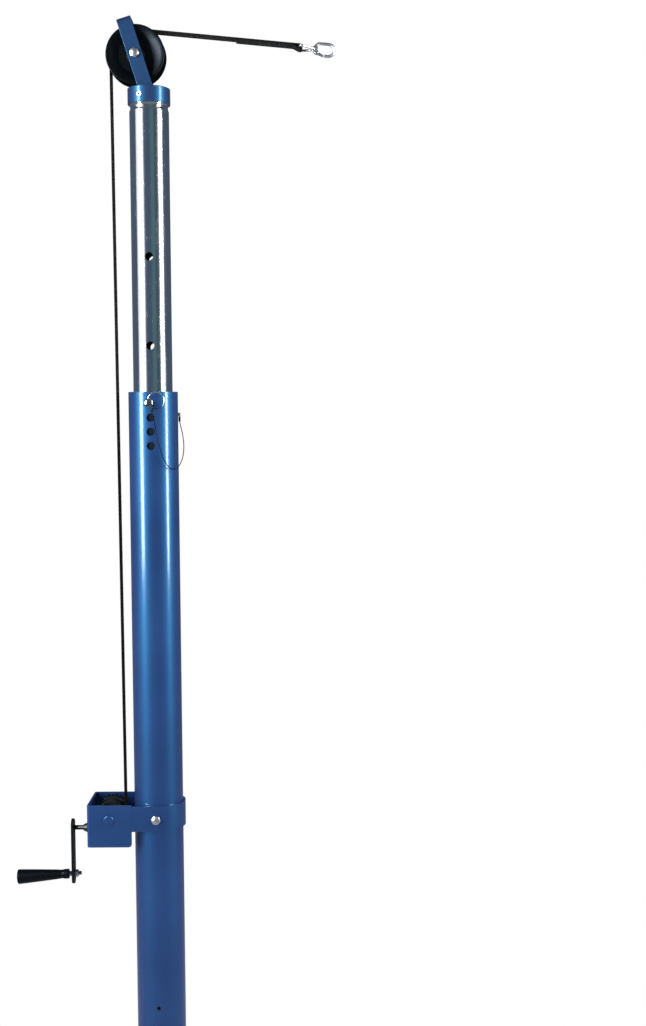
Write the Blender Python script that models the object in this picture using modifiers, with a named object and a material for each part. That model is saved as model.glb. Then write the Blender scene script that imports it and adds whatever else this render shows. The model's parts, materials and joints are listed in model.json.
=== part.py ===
"""Volleyball net post: a telescoping mast with a pulley head, a lock pin and a worm-gear strap winch.

Metres, +Z up. The origin is the centre of the foot's flat underside. +X points to the net and -Y to
the front, the side that the pin holes face. Run it in Blender 4.5, from the text editor or with
blender --background --python part.py.
"""

import math

import bmesh
import bpy
from mathutils import Matrix, Vector

GAP = 0.0003  # left between pieces that touch
RUN = 0.0004  # between a shaft and what turns or slides on it
MERGE = 0.00001  # distance below which modifiers merge points

# Outer tube, foot and the holes on its front line
TUBE_LENGTH = 2.1336
TUBE_RADIUS = 0.0381
TUBE_WALL = 0.0032
FOOT_FLANGE = 0.004
FOOT_INSERT = 0.030
PIN_BELOW_TOP = 0.018
PIN_HOLE_RADIUS = 0.00635
PIN_HOLE_PITCH = 0.0216
PIN_HOLE_COUNT = 4
STOP_BELOW_PIN = 0.947
STOP_PIN_RADIUS = 0.003
TOP_BUSH_HEIGHT = 0.011
TOP_BUSH_WALL = 0.00405

# Mast and its head
MAST_WALL = 0.003
MAST_RISE = 0.454  # from the lock pin up to the head collar
MAST_HOLES = (0.0, 0.088, 0.223)  # heights above the lock pin
NECK_HEIGHT = 0.010
NECK_DEPTH = 0.0014
GUIDE_FLANGE = 0.022
GUIDE_INSERT = 0.022
GUIDE_VENT = 0.008
STOP_CLEARANCE = 0.004
COLLAR_WALL = 0.00235
COLLAR_HEIGHT = 0.0244
COLLAR_CAP = 0.0055
COLLAR_SCREW_RADIUS = 0.004
COLLAR_SCREW_SOCKET = 0.0022
COLLAR_SCREW_DEPTH = 0.0018
COLLAR_SCREW_ANGLE = math.radians(20)  # left of the front

# Pulley and its bracket
PULLEY_X = -0.0185
AXLE_ABOVE_COLLAR = 0.0495
PULLEY_RADIUS = 0.045
PULLEY_WIDTH = 0.031
GROOVE_RADIUS = 0.0375
RIM_WIDTH = 0.0045
DISH_RADIUS = 0.0265
WEB_THICKNESS = 0.015
PULLEY_BORE_WALL = 0.0017
AXLE_RADIUS = 0.004
BRACKET_WIDTH = 0.022
BRACKET_THICKNESS = 0.0048
BRACKET_BEND = 0.007
BRACKET_OVER_AXLE = 0.0570
BRACKET_TILT = math.radians(17.5)
WASHER_THICKNESS = 0.0014
WASHER_RADIUS = 0.0085

# Strap
STRAP_WIDTH = 0.0254
STRAP_THICKNESS = 0.0016
WIND_GAP = 0.0005
WIND_TURNS = 2
ROLL_RADIUS = 0.0205
LEAD_SLOPE = math.radians(5.6)
LEAD_LENGTH = 0.2475  # from the pulley to the hook's eye bar
SEWN_LENGTH = 0.098

# Snap hook
EYE_WIRE = 0.0019
EYE_SIDE = 0.0063  # eye's bar past the strap's edge
EYE_CORNER = 0.0035
EYE_LENGTH = 0.0205
HOOK_WIRE = 0.0023
HOOK_LENGTH = 0.0325
HOOK_HALF_HEIGHT = 0.0090
HOOK_POINT = 0.0155  # nose's length back from the hook's end
GATE_WIDTH = 0.0038
GATE_PIN_RADIUS = 0.0009

# Winch
WINCH_BELOW_PIN = 0.645  # drum axis and clamp screws below the lock pin
DRUM_STANDOFF = 0.0355  # drum axis to the outer tube's surface
BAND_THICKNESS = 0.0036
BAND_BELOW_AXIS = 0.018
BAND_ABOVE_AXIS = 0.021
SCREW_RADIUS = 0.004
SCREW_HEAD_ACROSS = 0.013
SCREW_HEAD_HEIGHT = 0.0053
HOUSING_WALL = 0.003
HOUSING_LEFT = 0.034  # drum axis to the left wall's outer face
HOUSING_ABOVE_AXIS = 0.023
HOUSING_BELOW_AXIS = 0.043
HOUSING_BEND = 0.004
HOUSING_CORNER = 0.005
DRUM_AXLE_RADIUS = 0.005
DRUM_AXLE_HEAD = 0.008
DRUM_HUB_RADIUS = 0.0085
DRUM_CORE_RADIUS = 0.010
DRUM_FLANGE_RADIUS = 0.023
DRUM_FLANGE = 0.002
WHEEL_TEETH = 24
WHEEL_PITCH_RADIUS = 0.0225
WHEEL_WIDTH = 0.009
WORM_PITCH_RADIUS = 0.0070
WORM_TURNS = 4
TOOTH_BACKLASH = 0.0011
SHAFT_RADIUS = 0.00365
SHAFT_BUSH_RADIUS = 0.0060
SHAFT_BUSH_FLANGE = 0.0075
SHAFT_BUSH_LENGTH = 0.016
BEARING_BEYOND_AXIS = 0.0165
BEARING_THICKNESS = 0.009
BEARING_RADIUS = 0.0078

# Crank
ARM_THICKNESS = 0.004
ARM_WIDTH = 0.019
ARM_STANDOFF = 0.0310  # left wall to the arm
ARM_REACH = 0.0749
ARM_ABOVE_SHAFT = 0.0143
ARM_BELOW_SPINDLE = 0.0161
SPINDLE_RADIUS = 0.004
SPINDLE_END = 0.003
SPINDLE_DROOP = math.radians(3.3)
NUT_ACROSS = 0.0105
NUT_HEIGHT = 0.006
GRIP_GAP = 0.0055
GRIP_LENGTH = 0.082
GRIP_COLLAR_RADIUS = 0.0077
GRIP_COLLAR_LENGTH = 0.007
GRIP_NECK_RADIUS = 0.0068
GRIP_END_RADIUS = 0.0116
GRIP_RECESS = 0.005
GRIP_RECESS_RADIUS = 0.0070

# Lock pin, its ring and the lanyard
PIN_RADIUS = 0.0060
PIN_TRAVEL_HOME = 0.0125  # pushed in from rest, until the head seats on the tube
PIN_CLEAR = 0.0005  # nose to the mast at rest
PIN_HEAD_RADIUS = 0.0070
PIN_HEAD_LENGTH = 0.011
PIN_NOSE = 0.003
RING_HOLE_RADIUS = 0.0022
RING_RADIUS = 0.0126
RING_WIRE = 0.0009
RING_OFFSET = 0.01155
RING_TURN = math.radians(20)
LANYARD_RADIUS = 0.00075
EYE_LOOP_RADIUS = 0.0026
FERRULE_RADIUS = 0.0016
FERRULE_LENGTH = 0.0080
ANCHOR_BELOW_PIN = 0.017
ANCHOR_RADIUS = 0.0015
ANCHOR_HEAD = 0.0026
ANCHOR_NECK = 0.0024

# Heights and places that follow from the sizes above
TUBE_TOP = FOOT_FLANGE + GAP + TUBE_LENGTH
TUBE_BORE = TUBE_RADIUS - TUBE_WALL
MAST_RADIUS = TUBE_BORE - GAP - TOP_BUSH_WALL - RUN
COLLAR_RADIUS = MAST_RADIUS + COLLAR_WALL
PIN_Z = TUBE_TOP - PIN_BELOW_TOP
STOP_Z = PIN_Z - STOP_BELOW_PIN
COLLAR_Z = PIN_Z + MAST_RISE
COLLAR_TOP = COLLAR_Z + COLLAR_HEIGHT
MAST_TOP = COLLAR_TOP - COLLAR_CAP - GAP
MAST_TRAVEL = COLLAR_Z - TUBE_TOP - 0.0005
MAST_BOTTOM = STOP_Z + STOP_PIN_RADIUS + STOP_CLEARANCE + MAST_TRAVEL + GUIDE_FLANGE
AXLE_Z = COLLAR_TOP + AXLE_ABOVE_COLLAR
BUSH_RADIUS = AXLE_RADIUS + GAP + PULLEY_BORE_WALL
BRACKET_INNER = PULLEY_WIDTH / 2 + WASHER_THICKNESS + 2 * GAP
DRUM_X = -TUBE_RADIUS - DRUM_STANDOFF
DRUM_Z = PIN_Z - WINCH_BELOW_PIN
BAND_OUTER = TUBE_RADIUS + GAP + BAND_THICKNESS
HOUSING_INNER = BAND_OUTER - HOUSING_WALL
HOUSING_X = DRUM_X - HOUSING_LEFT
FLANGE_INNER = STRAP_WIDTH / 2 + 0.0005
WHEEL_MODULE = 2 * WHEEL_PITCH_RADIUS / WHEEL_TEETH
WHEEL_Y = FLANGE_INNER + DRUM_FLANGE + 0.0023 + WHEEL_WIDTH / 2
WORM_Z = DRUM_Z - WHEEL_PITCH_RADIUS - WORM_PITCH_RADIUS
WORM_LEAD = math.pi * WHEEL_MODULE
WORM_OUTER = WORM_PITCH_RADIUS + WHEEL_MODULE * 0.95
WORM_ROOT = WORM_PITCH_RADIUS - WHEEL_MODULE * 1.2
ARM_X = HOUSING_X - ARM_STANDOFF - ARM_THICKNESS / 2
STRAP_X = DRUM_X + ROLL_RADIUS + GAP + STRAP_THICKNESS / 2
LEAD_RADIUS = GROOVE_RADIUS + GAP + STRAP_THICKNESS / 2
SEWN_LOOP = EYE_WIRE + GAP + STRAP_THICKNESS / 2
PIN_HEAD_Y = -(TUBE_RADIUS + GAP + PIN_TRAVEL_HOME)
PIN_NOSE_Y = -(MAST_RADIUS + PIN_CLEAR)
PIN_HOLE_Y = PIN_HEAD_Y - PIN_HEAD_LENGTH / 2

TO_X = Vector((1, 0, 0))
TO_Y = Vector((0, 1, 0))
TO_Z = Vector((0, 0, 1))


def clear_scene():
    for thing in list(bpy.data.objects):
        bpy.data.objects.remove(thing, do_unlink=True)


def collection(name):
    made = bpy.data.collections.new(name)
    bpy.context.scene.collection.children.link(made)
    return made


clear_scene()
PARTS = collection("volleyball_net_post")
CUTTERS = collection("cutters")


def finish(name, colour, roughness, metallic):
    material = bpy.data.materials.new(name)
    material.use_nodes = True
    shader = material.node_tree.nodes["Principled BSDF"]
    shader.inputs["Base Color"].default_value = (*colour, 1)
    shader.inputs["Roughness"].default_value = roughness
    shader.inputs["Metallic"].default_value = metallic
    material.diffuse_color = (*colour, 1)
    return material


BLUE = (0.03, 0.085, 0.30)
BLACK = (0.012, 0.013, 0.014)


def pivot(name, at, parent=None, turn=None):
    """An empty on a joint's axis, which carries the pieces that move together."""
    empty = bpy.data.objects.new(name, None)
    PARTS.objects.link(empty)
    empty.location = at
    if turn:
        empty.rotation_euler = turn
    empty.parent = parent
    return empty


def facing(direction):
    """Rotation that turns local +Z to a direction."""
    return TO_Z.rotation_difference(Vector(direction)).to_euler()


def add(name, data, at=(0, 0, 0), turn=(0, 0, 0), parent=None, look=None, cutter=False):
    """A new object from mesh or curve data, in the parts or, for a cutter, in the cutters."""
    thing = bpy.data.objects.new(name, data)
    (CUTTERS if cutter else PARTS).objects.link(thing)
    thing.location = at
    thing.rotation_euler = turn
    thing.parent = parent
    if look:
        data.materials.append(look)
    if cutter:
        thing.hide_render = True
        thing.display_type = "WIRE"
    return thing


def turned(name, profile, sides=36, along=TO_Z, **place):
    """A revolve: (radius, height) points that run down the outer side and, in a ring, back up the bore."""
    mesh = bpy.data.meshes.new(name)
    points = [(radius, 0, height) for radius, height in profile]
    edges = [(n, n + 1) for n in range(len(points) - 1)]
    if profile[0][0] > 0:
        edges.append((len(points) - 1, 0))
    mesh.from_pydata(points, edges, [])
    thing = add(name, mesh, turn=facing(along), **place)
    screw = thing.modifiers.new("Turn", "SCREW")
    screw.steps = sides
    screw.render_steps = sides
    screw.use_merge_vertices = True
    screw.merge_threshold = MERGE
    screw.use_smooth_shade = True
    return thing


def rod(name, radius, low, high, sides=20, along=TO_Z, **place):
    """A plain round bar between two heights on its own axis."""
    mesh = bpy.data.meshes.new(name)
    shape = bmesh.new()
    middle = Matrix.Translation((0, 0, (low + high) / 2))
    bmesh.ops.create_cone(
        shape, cap_ends=True, segments=sides, radius1=radius, radius2=radius, depth=high - low, matrix=middle
    )
    shape.to_mesh(mesh)
    shape.free()
    mesh.shade_smooth()
    mesh.set_sharp_from_angle(angle=math.radians(40))
    return add(name, mesh, turn=facing(along), **place)


def cut(thing, tool, operation="DIFFERENCE"):
    change = thing.modifiers.new(operation.title(), "BOOLEAN")
    change.operation = operation
    change.solver = "EXACT"
    change.object = tool
    return thing


def drilled(thing, radius, low, high, at, along=TO_Y, sides=16, parent=None):
    """Drills a round hole through a piece."""
    name = f"{thing.name}_drill_{len(thing.modifiers)}"
    drill = rod(name, radius, low, high, sides, at=at, along=along, parent=parent, cutter=True)
    return cut(thing, drill)


def circle(radius, centre=(0, 0), sides=24, start=0, sweep=2 * math.pi):
    whole = abs(sweep - 2 * math.pi) < 1e-6
    count = sides if whole else sides + 1
    angles = [start + sweep * n / sides for n in range(count)]
    return [(centre[0] + radius * math.cos(a), centre[1] + radius * math.sin(a)) for a in angles]


def filleted(corners, radii, steps=6, closed=False):
    """The corners' path with each inner corner rounded to its radius."""
    spots = [Vector(corner) for corner in corners]
    count = len(spots)
    path = []
    for n, spot in enumerate(spots):
        radius = radii[n] if isinstance(radii, (list, tuple)) else radii
        if radius <= 0 or (not closed and n in (0, count - 1)):
            path.append(spot)
            continue
        back = (spots[n - 1] - spot).normalized()
        ahead = (spots[(n + 1) % count] - spot).normalized()
        half = back.angle(ahead) / 2
        reach = radius / math.tan(half)
        centre = spot + (back + ahead).normalized() * (radius / math.sin(half))
        first = spot + back * reach - centre
        last = spot + ahead * reach - centre
        arc = math.pi - 2 * half
        for step in range(steps + 1):
            t = step / steps
            path.append(centre + (first * math.sin((1 - t) * arc) + last * math.sin(t * arc)) / math.sin(arc))
    return path


def plate(name, loops, thickness, turn=(0, 0, 0), **place):
    """A flat plate from closed outlines, the first one outside and the others holes."""
    curve = bpy.data.curves.new(name, "CURVE")
    curve.dimensions = "2D"
    curve.fill_mode = "BOTH"
    curve.extrude = thickness / 2
    for loop in loops:
        spline = curve.splines.new("POLY")
        spline.points.add(len(loop) - 1)
        for point, spot in zip(spline.points, loop):
            point.co = (spot[0], spot[1], 0, 1)
        spline.use_cyclic_u = True
    return add(name, curve, turn=turn, **place)


def folded(name, path, spread, thickness, **place):
    """Sheet or strap: an open surface swept along spread, with its wall on both sides of the path."""
    half = Vector(spread) / 2
    mesh = bpy.data.meshes.new(name)
    shape = bmesh.new()
    low = [shape.verts.new(Vector(spot) - half) for spot in path]
    high = [shape.verts.new(Vector(spot) + half) for spot in path]
    for n in range(len(path) - 1):
        shape.faces.new((low[n], low[n + 1], high[n + 1], high[n]))
    shape.to_mesh(mesh)
    shape.free()
    thing = add(name, mesh, **place)
    wall = thing.modifiers.new("Wall", "SOLIDIFY")
    wall.thickness = thickness
    wall.offset = 0
    wall.use_even_offset = True
    return thing


def wire(name, path, radius, closed=False, resolution=2, **place):
    """A round wire along a path of points."""
    curve = bpy.data.curves.new(name, "CURVE")
    curve.dimensions = "3D"
    curve.bevel_depth = radius
    curve.bevel_resolution = resolution
    curve.use_fill_caps = True
    spline = curve.splines.new("POLY")
    spline.points.add(len(path) - 1)
    for point, spot in zip(spline.points, path):
        point.co = (*spot, 1)
    spline.use_cyclic_u = closed
    return add(name, curve, **place)


def as_mesh(thing):
    """The same piece as a mesh, with its caps welded, so that it can be cut or joined."""
    bpy.context.view_layer.update()
    ready = thing.evaluated_get(bpy.context.evaluated_depsgraph_get())
    mesh = bpy.data.meshes.new_from_object(ready)
    shape = bmesh.new()
    shape.from_mesh(mesh)
    bmesh.ops.remove_doubles(shape, verts=shape.verts, dist=MERGE)
    bmesh.ops.recalc_face_normals(shape, faces=shape.faces)
    shape.to_mesh(mesh)
    shape.free()
    name = thing.name
    cutter = thing.hide_render
    parent = thing.parent
    spot = thing.location.copy()
    turn = thing.rotation_euler.copy()
    bpy.data.objects.remove(thing, do_unlink=True)
    return add(name, mesh, at=spot, turn=turn, parent=parent, cutter=cutter)


def block(name, size, turn=(0, 0, 0), **place):
    """A box with its size in the mesh."""
    mesh = bpy.data.meshes.new(name)
    shape = bmesh.new()
    bmesh.ops.create_cube(shape, size=1, matrix=Matrix.Diagonal((*size, 1)))
    shape.to_mesh(mesh)
    shape.free()
    return add(name, mesh, turn=turn, **place)


def hex_radius(across):
    return across / 2 / math.cos(math.pi / 6)


def hex_bolt(name, shank, length, across, head, **place):
    """A bolt along +Z: the shank runs up to the seat at height 0, with the hexagon head above it."""
    corner = hex_radius(across)
    crown = [(0, head), (corner - 0.0012, head), (corner, head - 0.0007), (corner, 0), (0, 0)]
    bolt = turned(name, crown, 6, **place)
    tool_place = {key: value for key, value in place.items() if key != "look"}
    stem = rod(name + "_shank", shank, -length, head / 2, cutter=True, **tool_place)
    return cut(bolt, stem, "UNION")


def hex_nut(name, bore, across, height, turn=(0, 0, 0), **place):
    """A nut centred on its own origin."""
    sides = circle(hex_radius(across), sides=6)
    return plate(name, [sides, circle(bore)], height, turn, **place)


paint = finish("blue_paint", BLUE, 0.32, 0)
chrome = finish("plated_steel", (0.74, 0.76, 0.78), 0.18, 1)
steel = finish("zinc_steel", (0.62, 0.63, 0.64), 0.32, 1)
dark_steel = finish("oiled_steel", (0.10, 0.10, 0.105), 0.42, 1)
black_paint = finish("black_paint", BLACK, 0.35, 0)
black_plastic = finish("black_plastic", BLACK, 0.45, 0)
webbing = finish("black_webbing", (0.014, 0.014, 0.015), 0.85, 0)
nylon = finish("white_nylon", (0.78, 0.77, 0.72), 0.5, 0)
bronze = finish("bronze", (0.55, 0.36, 0.16), 0.35, 1)
rubber = finish("black_rubber", (0.02, 0.02, 0.02), 0.8, 0)


def outer_tube():
    edge = 0.0006
    bottom = FOOT_FLANGE + GAP
    profile = [
        (TUBE_RADIUS - edge, TUBE_TOP),
        (TUBE_RADIUS, TUBE_TOP - edge),
        (TUBE_RADIUS, bottom),
        (TUBE_BORE, bottom),
        (TUBE_BORE, TUBE_TOP),
    ]
    tube = turned("outer_tube", profile, look=paint)
    reach = TUBE_RADIUS + 0.01
    for n in range(PIN_HOLE_COUNT):
        drilled(tube, PIN_HOLE_RADIUS, -reach, reach, (0, 0, PIN_Z - n * PIN_HOLE_PITCH))
    drilled(tube, STOP_PIN_RADIUS + GAP, -reach, reach, (0, 0, STOP_Z), sides=16)
    drilled(tube, SCREW_RADIUS + GAP, -reach, reach, (0, 0, DRUM_Z))
    drilled(tube, ANCHOR_RADIUS + GAP, 0.01, reach, (0, 0, PIN_Z - ANCHOR_BELOW_PIN), TO_X, 12)


def foot_plug():
    flange = TUBE_RADIUS - 0.0005
    insert = TUBE_BORE - GAP
    top = FOOT_FLANGE + FOOT_INSERT
    hollow = insert - 0.004
    profile = [
        (0, FOOT_FLANGE),
        (hollow, FOOT_FLANGE),
        (hollow, top),
        (insert - 0.001, top),
        (insert, top - 0.003),
        (insert, FOOT_FLANGE),
        (flange, FOOT_FLANGE),
        (flange, 0.001),
        (flange - 0.001, 0),
        (0, 0),
    ]
    turned("foot_plug", profile, look=rubber)


def tube_top_bush():
    outer = TUBE_BORE - GAP
    inner = MAST_RADIUS + RUN
    low = TUBE_TOP - TOP_BUSH_HEIGHT
    profile = [(outer, TUBE_TOP), (outer, low), (inner, low), (inner, TUBE_TOP)]
    turned("tube_top_bush", profile, look=nylon)


def mast_stop_pin():
    half = TUBE_RADIUS - 0.0002
    bore = STOP_PIN_RADIUS - 0.001
    profile = [(STOP_PIN_RADIUS, half), (STOP_PIN_RADIUS, -half), (bore, -half), (bore, half)]
    turned("mast_stop_pin", profile, 16, TO_Y, at=(0, 0, STOP_Z), look=steel)


def mast_tube(parent):
    bore = MAST_RADIUS - MAST_WALL
    steps = 4
    neck = []
    for n in range(steps + 1):
        t = n / steps
        neck.append((MAST_RADIUS - NECK_DEPTH * math.sin(math.pi * t), COLLAR_Z - NECK_HEIGHT * t))
    profile = [(MAST_RADIUS, MAST_TOP), *neck, (MAST_RADIUS, MAST_BOTTOM), (bore, MAST_BOTTOM), (bore, MAST_TOP)]
    tube = turned("mast_tube", profile, parent=parent, look=chrome)
    reach = MAST_RADIUS + 0.01
    for height in MAST_HOLES:
        drilled(tube, PIN_HOLE_RADIUS, -reach, reach, (0, 0, PIN_Z + height), parent=parent)


def mast_foot_guide(parent):
    insert = MAST_RADIUS - MAST_WALL - GAP
    flange = TUBE_BORE - RUN
    top = MAST_BOTTOM + GUIDE_INSERT
    seat = MAST_BOTTOM - GAP
    low = MAST_BOTTOM - GUIDE_FLANGE
    profile = [
        (insert - 0.001, top),
        (insert, top - 0.002),
        (insert, seat),
        (flange, seat),
        (flange, low + 0.001),
        (flange - 0.001, low),
        (GUIDE_VENT, low),
        (GUIDE_VENT, top),
    ]
    turned("mast_foot_guide", profile, parent=parent, look=nylon)


def head_collar(parent):
    edge = 0.0012
    socket = MAST_RADIUS + GAP
    roof = COLLAR_TOP - COLLAR_CAP
    profile = [
        (0, COLLAR_TOP),
        (COLLAR_RADIUS - edge, COLLAR_TOP),
        (COLLAR_RADIUS, COLLAR_TOP - edge),
        (COLLAR_RADIUS, COLLAR_Z + edge),
        (COLLAR_RADIUS - edge, COLLAR_Z),
        (socket, COLLAR_Z),
        (socket, roof),
        (0, roof),
    ]
    collar = turned("head_collar", profile, parent=parent, look=paint)
    side = Vector((-math.sin(COLLAR_SCREW_ANGLE), -math.cos(COLLAR_SCREW_ANGLE), 0))
    spot = (0, 0, COLLAR_Z + COLLAR_HEIGHT * 0.46)
    drilled(collar, COLLAR_SCREW_RADIUS + GAP, 0.02, 0.05, spot, side, parent=parent)
    low = MAST_RADIUS + GAP
    high = COLLAR_RADIUS + 0.0012
    socket_floor = high - COLLAR_SCREW_DEPTH
    edge = 0.0004
    profile = [
        (0, socket_floor),
        (COLLAR_SCREW_SOCKET, socket_floor),
        (COLLAR_SCREW_SOCKET, high),
        (COLLAR_SCREW_RADIUS - edge, high),
        (COLLAR_SCREW_RADIUS, high - edge),
        (COLLAR_SCREW_RADIUS, low),
        (0, low),
    ]
    turned("collar_set_screw", profile, 20, side, at=spot, parent=parent, look=steel)


def pulley_bracket(axle):
    frame = pivot("bracket_frame", (0, 0, 0), axle, (0, -BRACKET_TILT, 0))
    side = BRACKET_INNER + BRACKET_THICKNESS / 2
    top = BRACKET_OVER_AXLE - BRACKET_THICKNESS / 2
    foot = AXLE_ABOVE_COLLAR / math.cos(BRACKET_TILT) + BRACKET_WIDTH
    corners = [(0, -side, -foot), (0, -side, top), (0, side, top), (0, side, -foot)]
    path = filleted(corners, BRACKET_BEND)
    bracket = folded("pulley_bracket", path, (BRACKET_WIDTH, 0, 0), BRACKET_THICKNESS, parent=frame, look=paint)
    reach = side + 0.02
    drilled(bracket, AXLE_RADIUS + GAP, -reach, reach, (0, 0, 0), parent=axle)
    size = 2 * foot
    low = GAP - AXLE_ABOVE_COLLAR - size / 2
    cut(bracket, block("bracket_foot_cut", (size, size, size), at=(0, 0, low), parent=axle, cutter=True))


def pulley_fasteners(axle):
    seat = BRACKET_INNER + BRACKET_THICKNESS + GAP
    nut = 0.0065
    length = 2 * seat + nut + 0.002
    hex_bolt(
        "pulley_axle", AXLE_RADIUS, length, SCREW_HEAD_ACROSS, SCREW_HEAD_HEIGHT,
        at=(0, -seat, 0), along=-TO_Y, parent=axle, look=steel,
    )
    turn = (math.pi / 2, 0, 0)
    middle = seat + nut / 2
    hex_nut("axle_nut", AXLE_RADIUS + GAP, SCREW_HEAD_ACROSS, nut, turn, at=(0, middle, 0), parent=axle, look=steel)
    low = PULLEY_WIDTH / 2 + GAP
    high = low + WASHER_THICKNESS
    bore = AXLE_RADIUS + GAP
    profile = [(WASHER_RADIUS, high), (WASHER_RADIUS, low), (bore, low), (bore, high)]
    for name, side in (("pulley_washer_front", -TO_Y), ("pulley_washer_back", TO_Y)):
        turned(name, profile, 20, side, parent=axle, look=steel)


def pulley(axle):
    half = PULLEY_WIDTH / 2
    lip = half - RIM_WIDTH / 2
    floor = STRAP_WIDTH / 2 + 0.0005
    bore = BUSH_RADIUS + GAP
    hub = bore + 0.006
    web = WEB_THICKNESS / 2
    flank = [
        (bore, half),
        (hub, half),
        (hub + 0.001, web),
        (DISH_RADIUS, web),
        (GROOVE_RADIUS - 0.0010, half - 0.0013),
        (PULLEY_RADIUS - 0.0030, half),
        (PULLEY_RADIUS - 0.0010, half),
        (PULLEY_RADIUS, half - 0.0010),
        (PULLEY_RADIUS - 0.0004, lip),
        (GROOVE_RADIUS, floor),
    ]
    profile = flank + [(radius, -height) for radius, height in reversed(flank)]
    turned("pulley", profile, 40, TO_Y, parent=axle, look=black_plastic)
    inner = AXLE_RADIUS + GAP
    profile = [(BUSH_RADIUS, half), (BUSH_RADIUS, -half), (inner, -half), (inner, half)]
    turned("pulley_bush", profile, 20, TO_Y, parent=axle, look=bronze)


def winch_housing():
    yc = BAND_OUTER - HOUSING_WALL / 2
    left = HOUSING_X + HOUSING_WALL / 2
    right = -TUBE_RADIUS - 0.0002
    low = DRUM_Z - HOUSING_BELOW_AXIS
    high = DRUM_Z + HOUSING_ABOVE_AXIS
    spare = 0.002
    middle = (low - spare + high) / 2
    corners = [(right + spare, -yc, middle), (left, -yc, middle), (left, yc, middle), (right + spare, yc, middle)]
    path = filleted(corners, HOUSING_BEND - HOUSING_WALL / 2)
    height = high - low + spare
    housing = folded("winch_housing", path, (0, 0, height), HOUSING_WALL, look=paint)
    foot = HOUSING_BEND
    outline = [
        (HOUSING_X - 0.01, high + 0.01),
        (HOUSING_X - 0.01, low + foot),
        *circle(foot, (HOUSING_X + foot, low + foot), 5, math.pi, math.pi / 2),
        *circle(HOUSING_CORNER, (right - HOUSING_CORNER, low + HOUSING_CORNER), 6, -math.pi / 2, math.pi / 2),
        (right, high + 0.01),
    ]
    upright = (math.pi / 2, 0, 0)
    trim = as_mesh(plate("housing_trim", [outline], 2.5 * BAND_OUTER, upright, cutter=True))
    cut(housing, trim, "INTERSECT")
    reach = BAND_OUTER + 0.01
    drilled(housing, DRUM_AXLE_RADIUS + GAP, -reach, reach, (DRUM_X, 0, DRUM_Z))
    spot = (HOUSING_X, WHEEL_Y, WORM_Z)
    drilled(housing, SHAFT_BUSH_RADIUS + GAP, -0.01, 0.01, spot, TO_X)


def clamp_band():
    yc = TUBE_RADIUS + GAP + BAND_THICKNESS / 2
    start = -TUBE_RADIUS + 0.0001
    middle = DRUM_Z + (BAND_ABOVE_AXIS - BAND_BELOW_AXIS) / 2
    bend = [(x, y, middle) for x, y in circle(yc, (0, 0), 24, -math.pi / 2, math.pi)]
    path = [(start, -yc, middle), *bend, (start, yc, middle)]
    height = BAND_ABOVE_AXIS + BAND_BELOW_AXIS
    band = folded("clamp_band", path, (0, 0, height), BAND_THICKNESS, look=paint)
    reach = BAND_OUTER + 0.01
    drilled(band, SCREW_RADIUS + GAP, -reach, reach, (0, 0, DRUM_Z))
    seat = BAND_OUTER + GAP
    length = seat - TUBE_BORE - 0.0002
    for name, side in (("clamp_screw_front", -TO_Y), ("clamp_screw_back", TO_Y)):
        spot = side * seat + TO_Z * DRUM_Z
        hex_bolt(name, SCREW_RADIUS, length, SCREW_HEAD_ACROSS, SCREW_HEAD_HEIGHT, at=spot, along=side, look=steel)


def drum_axle():
    outer = BAND_OUTER + GAP
    clip = outer + 0.0002
    clip_thickness = 0.0012
    groove = DRUM_AXLE_RADIUS - 0.0008
    back = clip + clip_thickness + 0.0018
    profile = [
        (0, back),
        (DRUM_AXLE_RADIUS - 0.0006, back),
        (DRUM_AXLE_RADIUS, back - 0.0006),
        (DRUM_AXLE_RADIUS, clip + clip_thickness + GAP),
        (groove, clip + clip_thickness + GAP),
        (groove, clip - GAP),
        (DRUM_AXLE_RADIUS, clip - GAP),
        (DRUM_AXLE_RADIUS, -outer),
        (DRUM_AXLE_HEAD, -outer),
        (DRUM_AXLE_HEAD, -outer - 0.0012),
        (DRUM_AXLE_HEAD - 0.0015, -outer - 0.0024),
        (0, -outer - 0.0028),
    ]
    spot = (DRUM_X, 0, DRUM_Z)
    turned("drum_axle", profile, 20, TO_Y, at=spot, look=paint)
    ring = circle(groove + GAP, sides=20, start=math.radians(50), sweep=math.radians(260))
    rim = circle(groove + 0.0035, sides=20, start=math.radians(50), sweep=math.radians(260))
    turn = (math.pi / 2, 0, 0)
    middle = (DRUM_X, clip + clip_thickness / 2, DRUM_Z)
    plate("axle_clip", [ring + rim[::-1]], clip_thickness, turn, at=middle, look=dark_steel)


def winch_drum(axis):
    end = HOUSING_INNER - RUN
    bore = DRUM_AXLE_RADIUS + GAP
    outer = FLANGE_INNER + DRUM_FLANGE
    flank = [
        (bore, end),
        (DRUM_HUB_RADIUS, end),
        (DRUM_HUB_RADIUS, outer),
        (DRUM_FLANGE_RADIUS, outer),
        (DRUM_FLANGE_RADIUS, FLANGE_INNER),
        (DRUM_CORE_RADIUS, FLANGE_INNER),
    ]
    profile = flank + [(radius, -height) for radius, height in reversed(flank)]
    turned("winch_drum", profile, 32, TO_Y, parent=axis, look=dark_steel)


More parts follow.
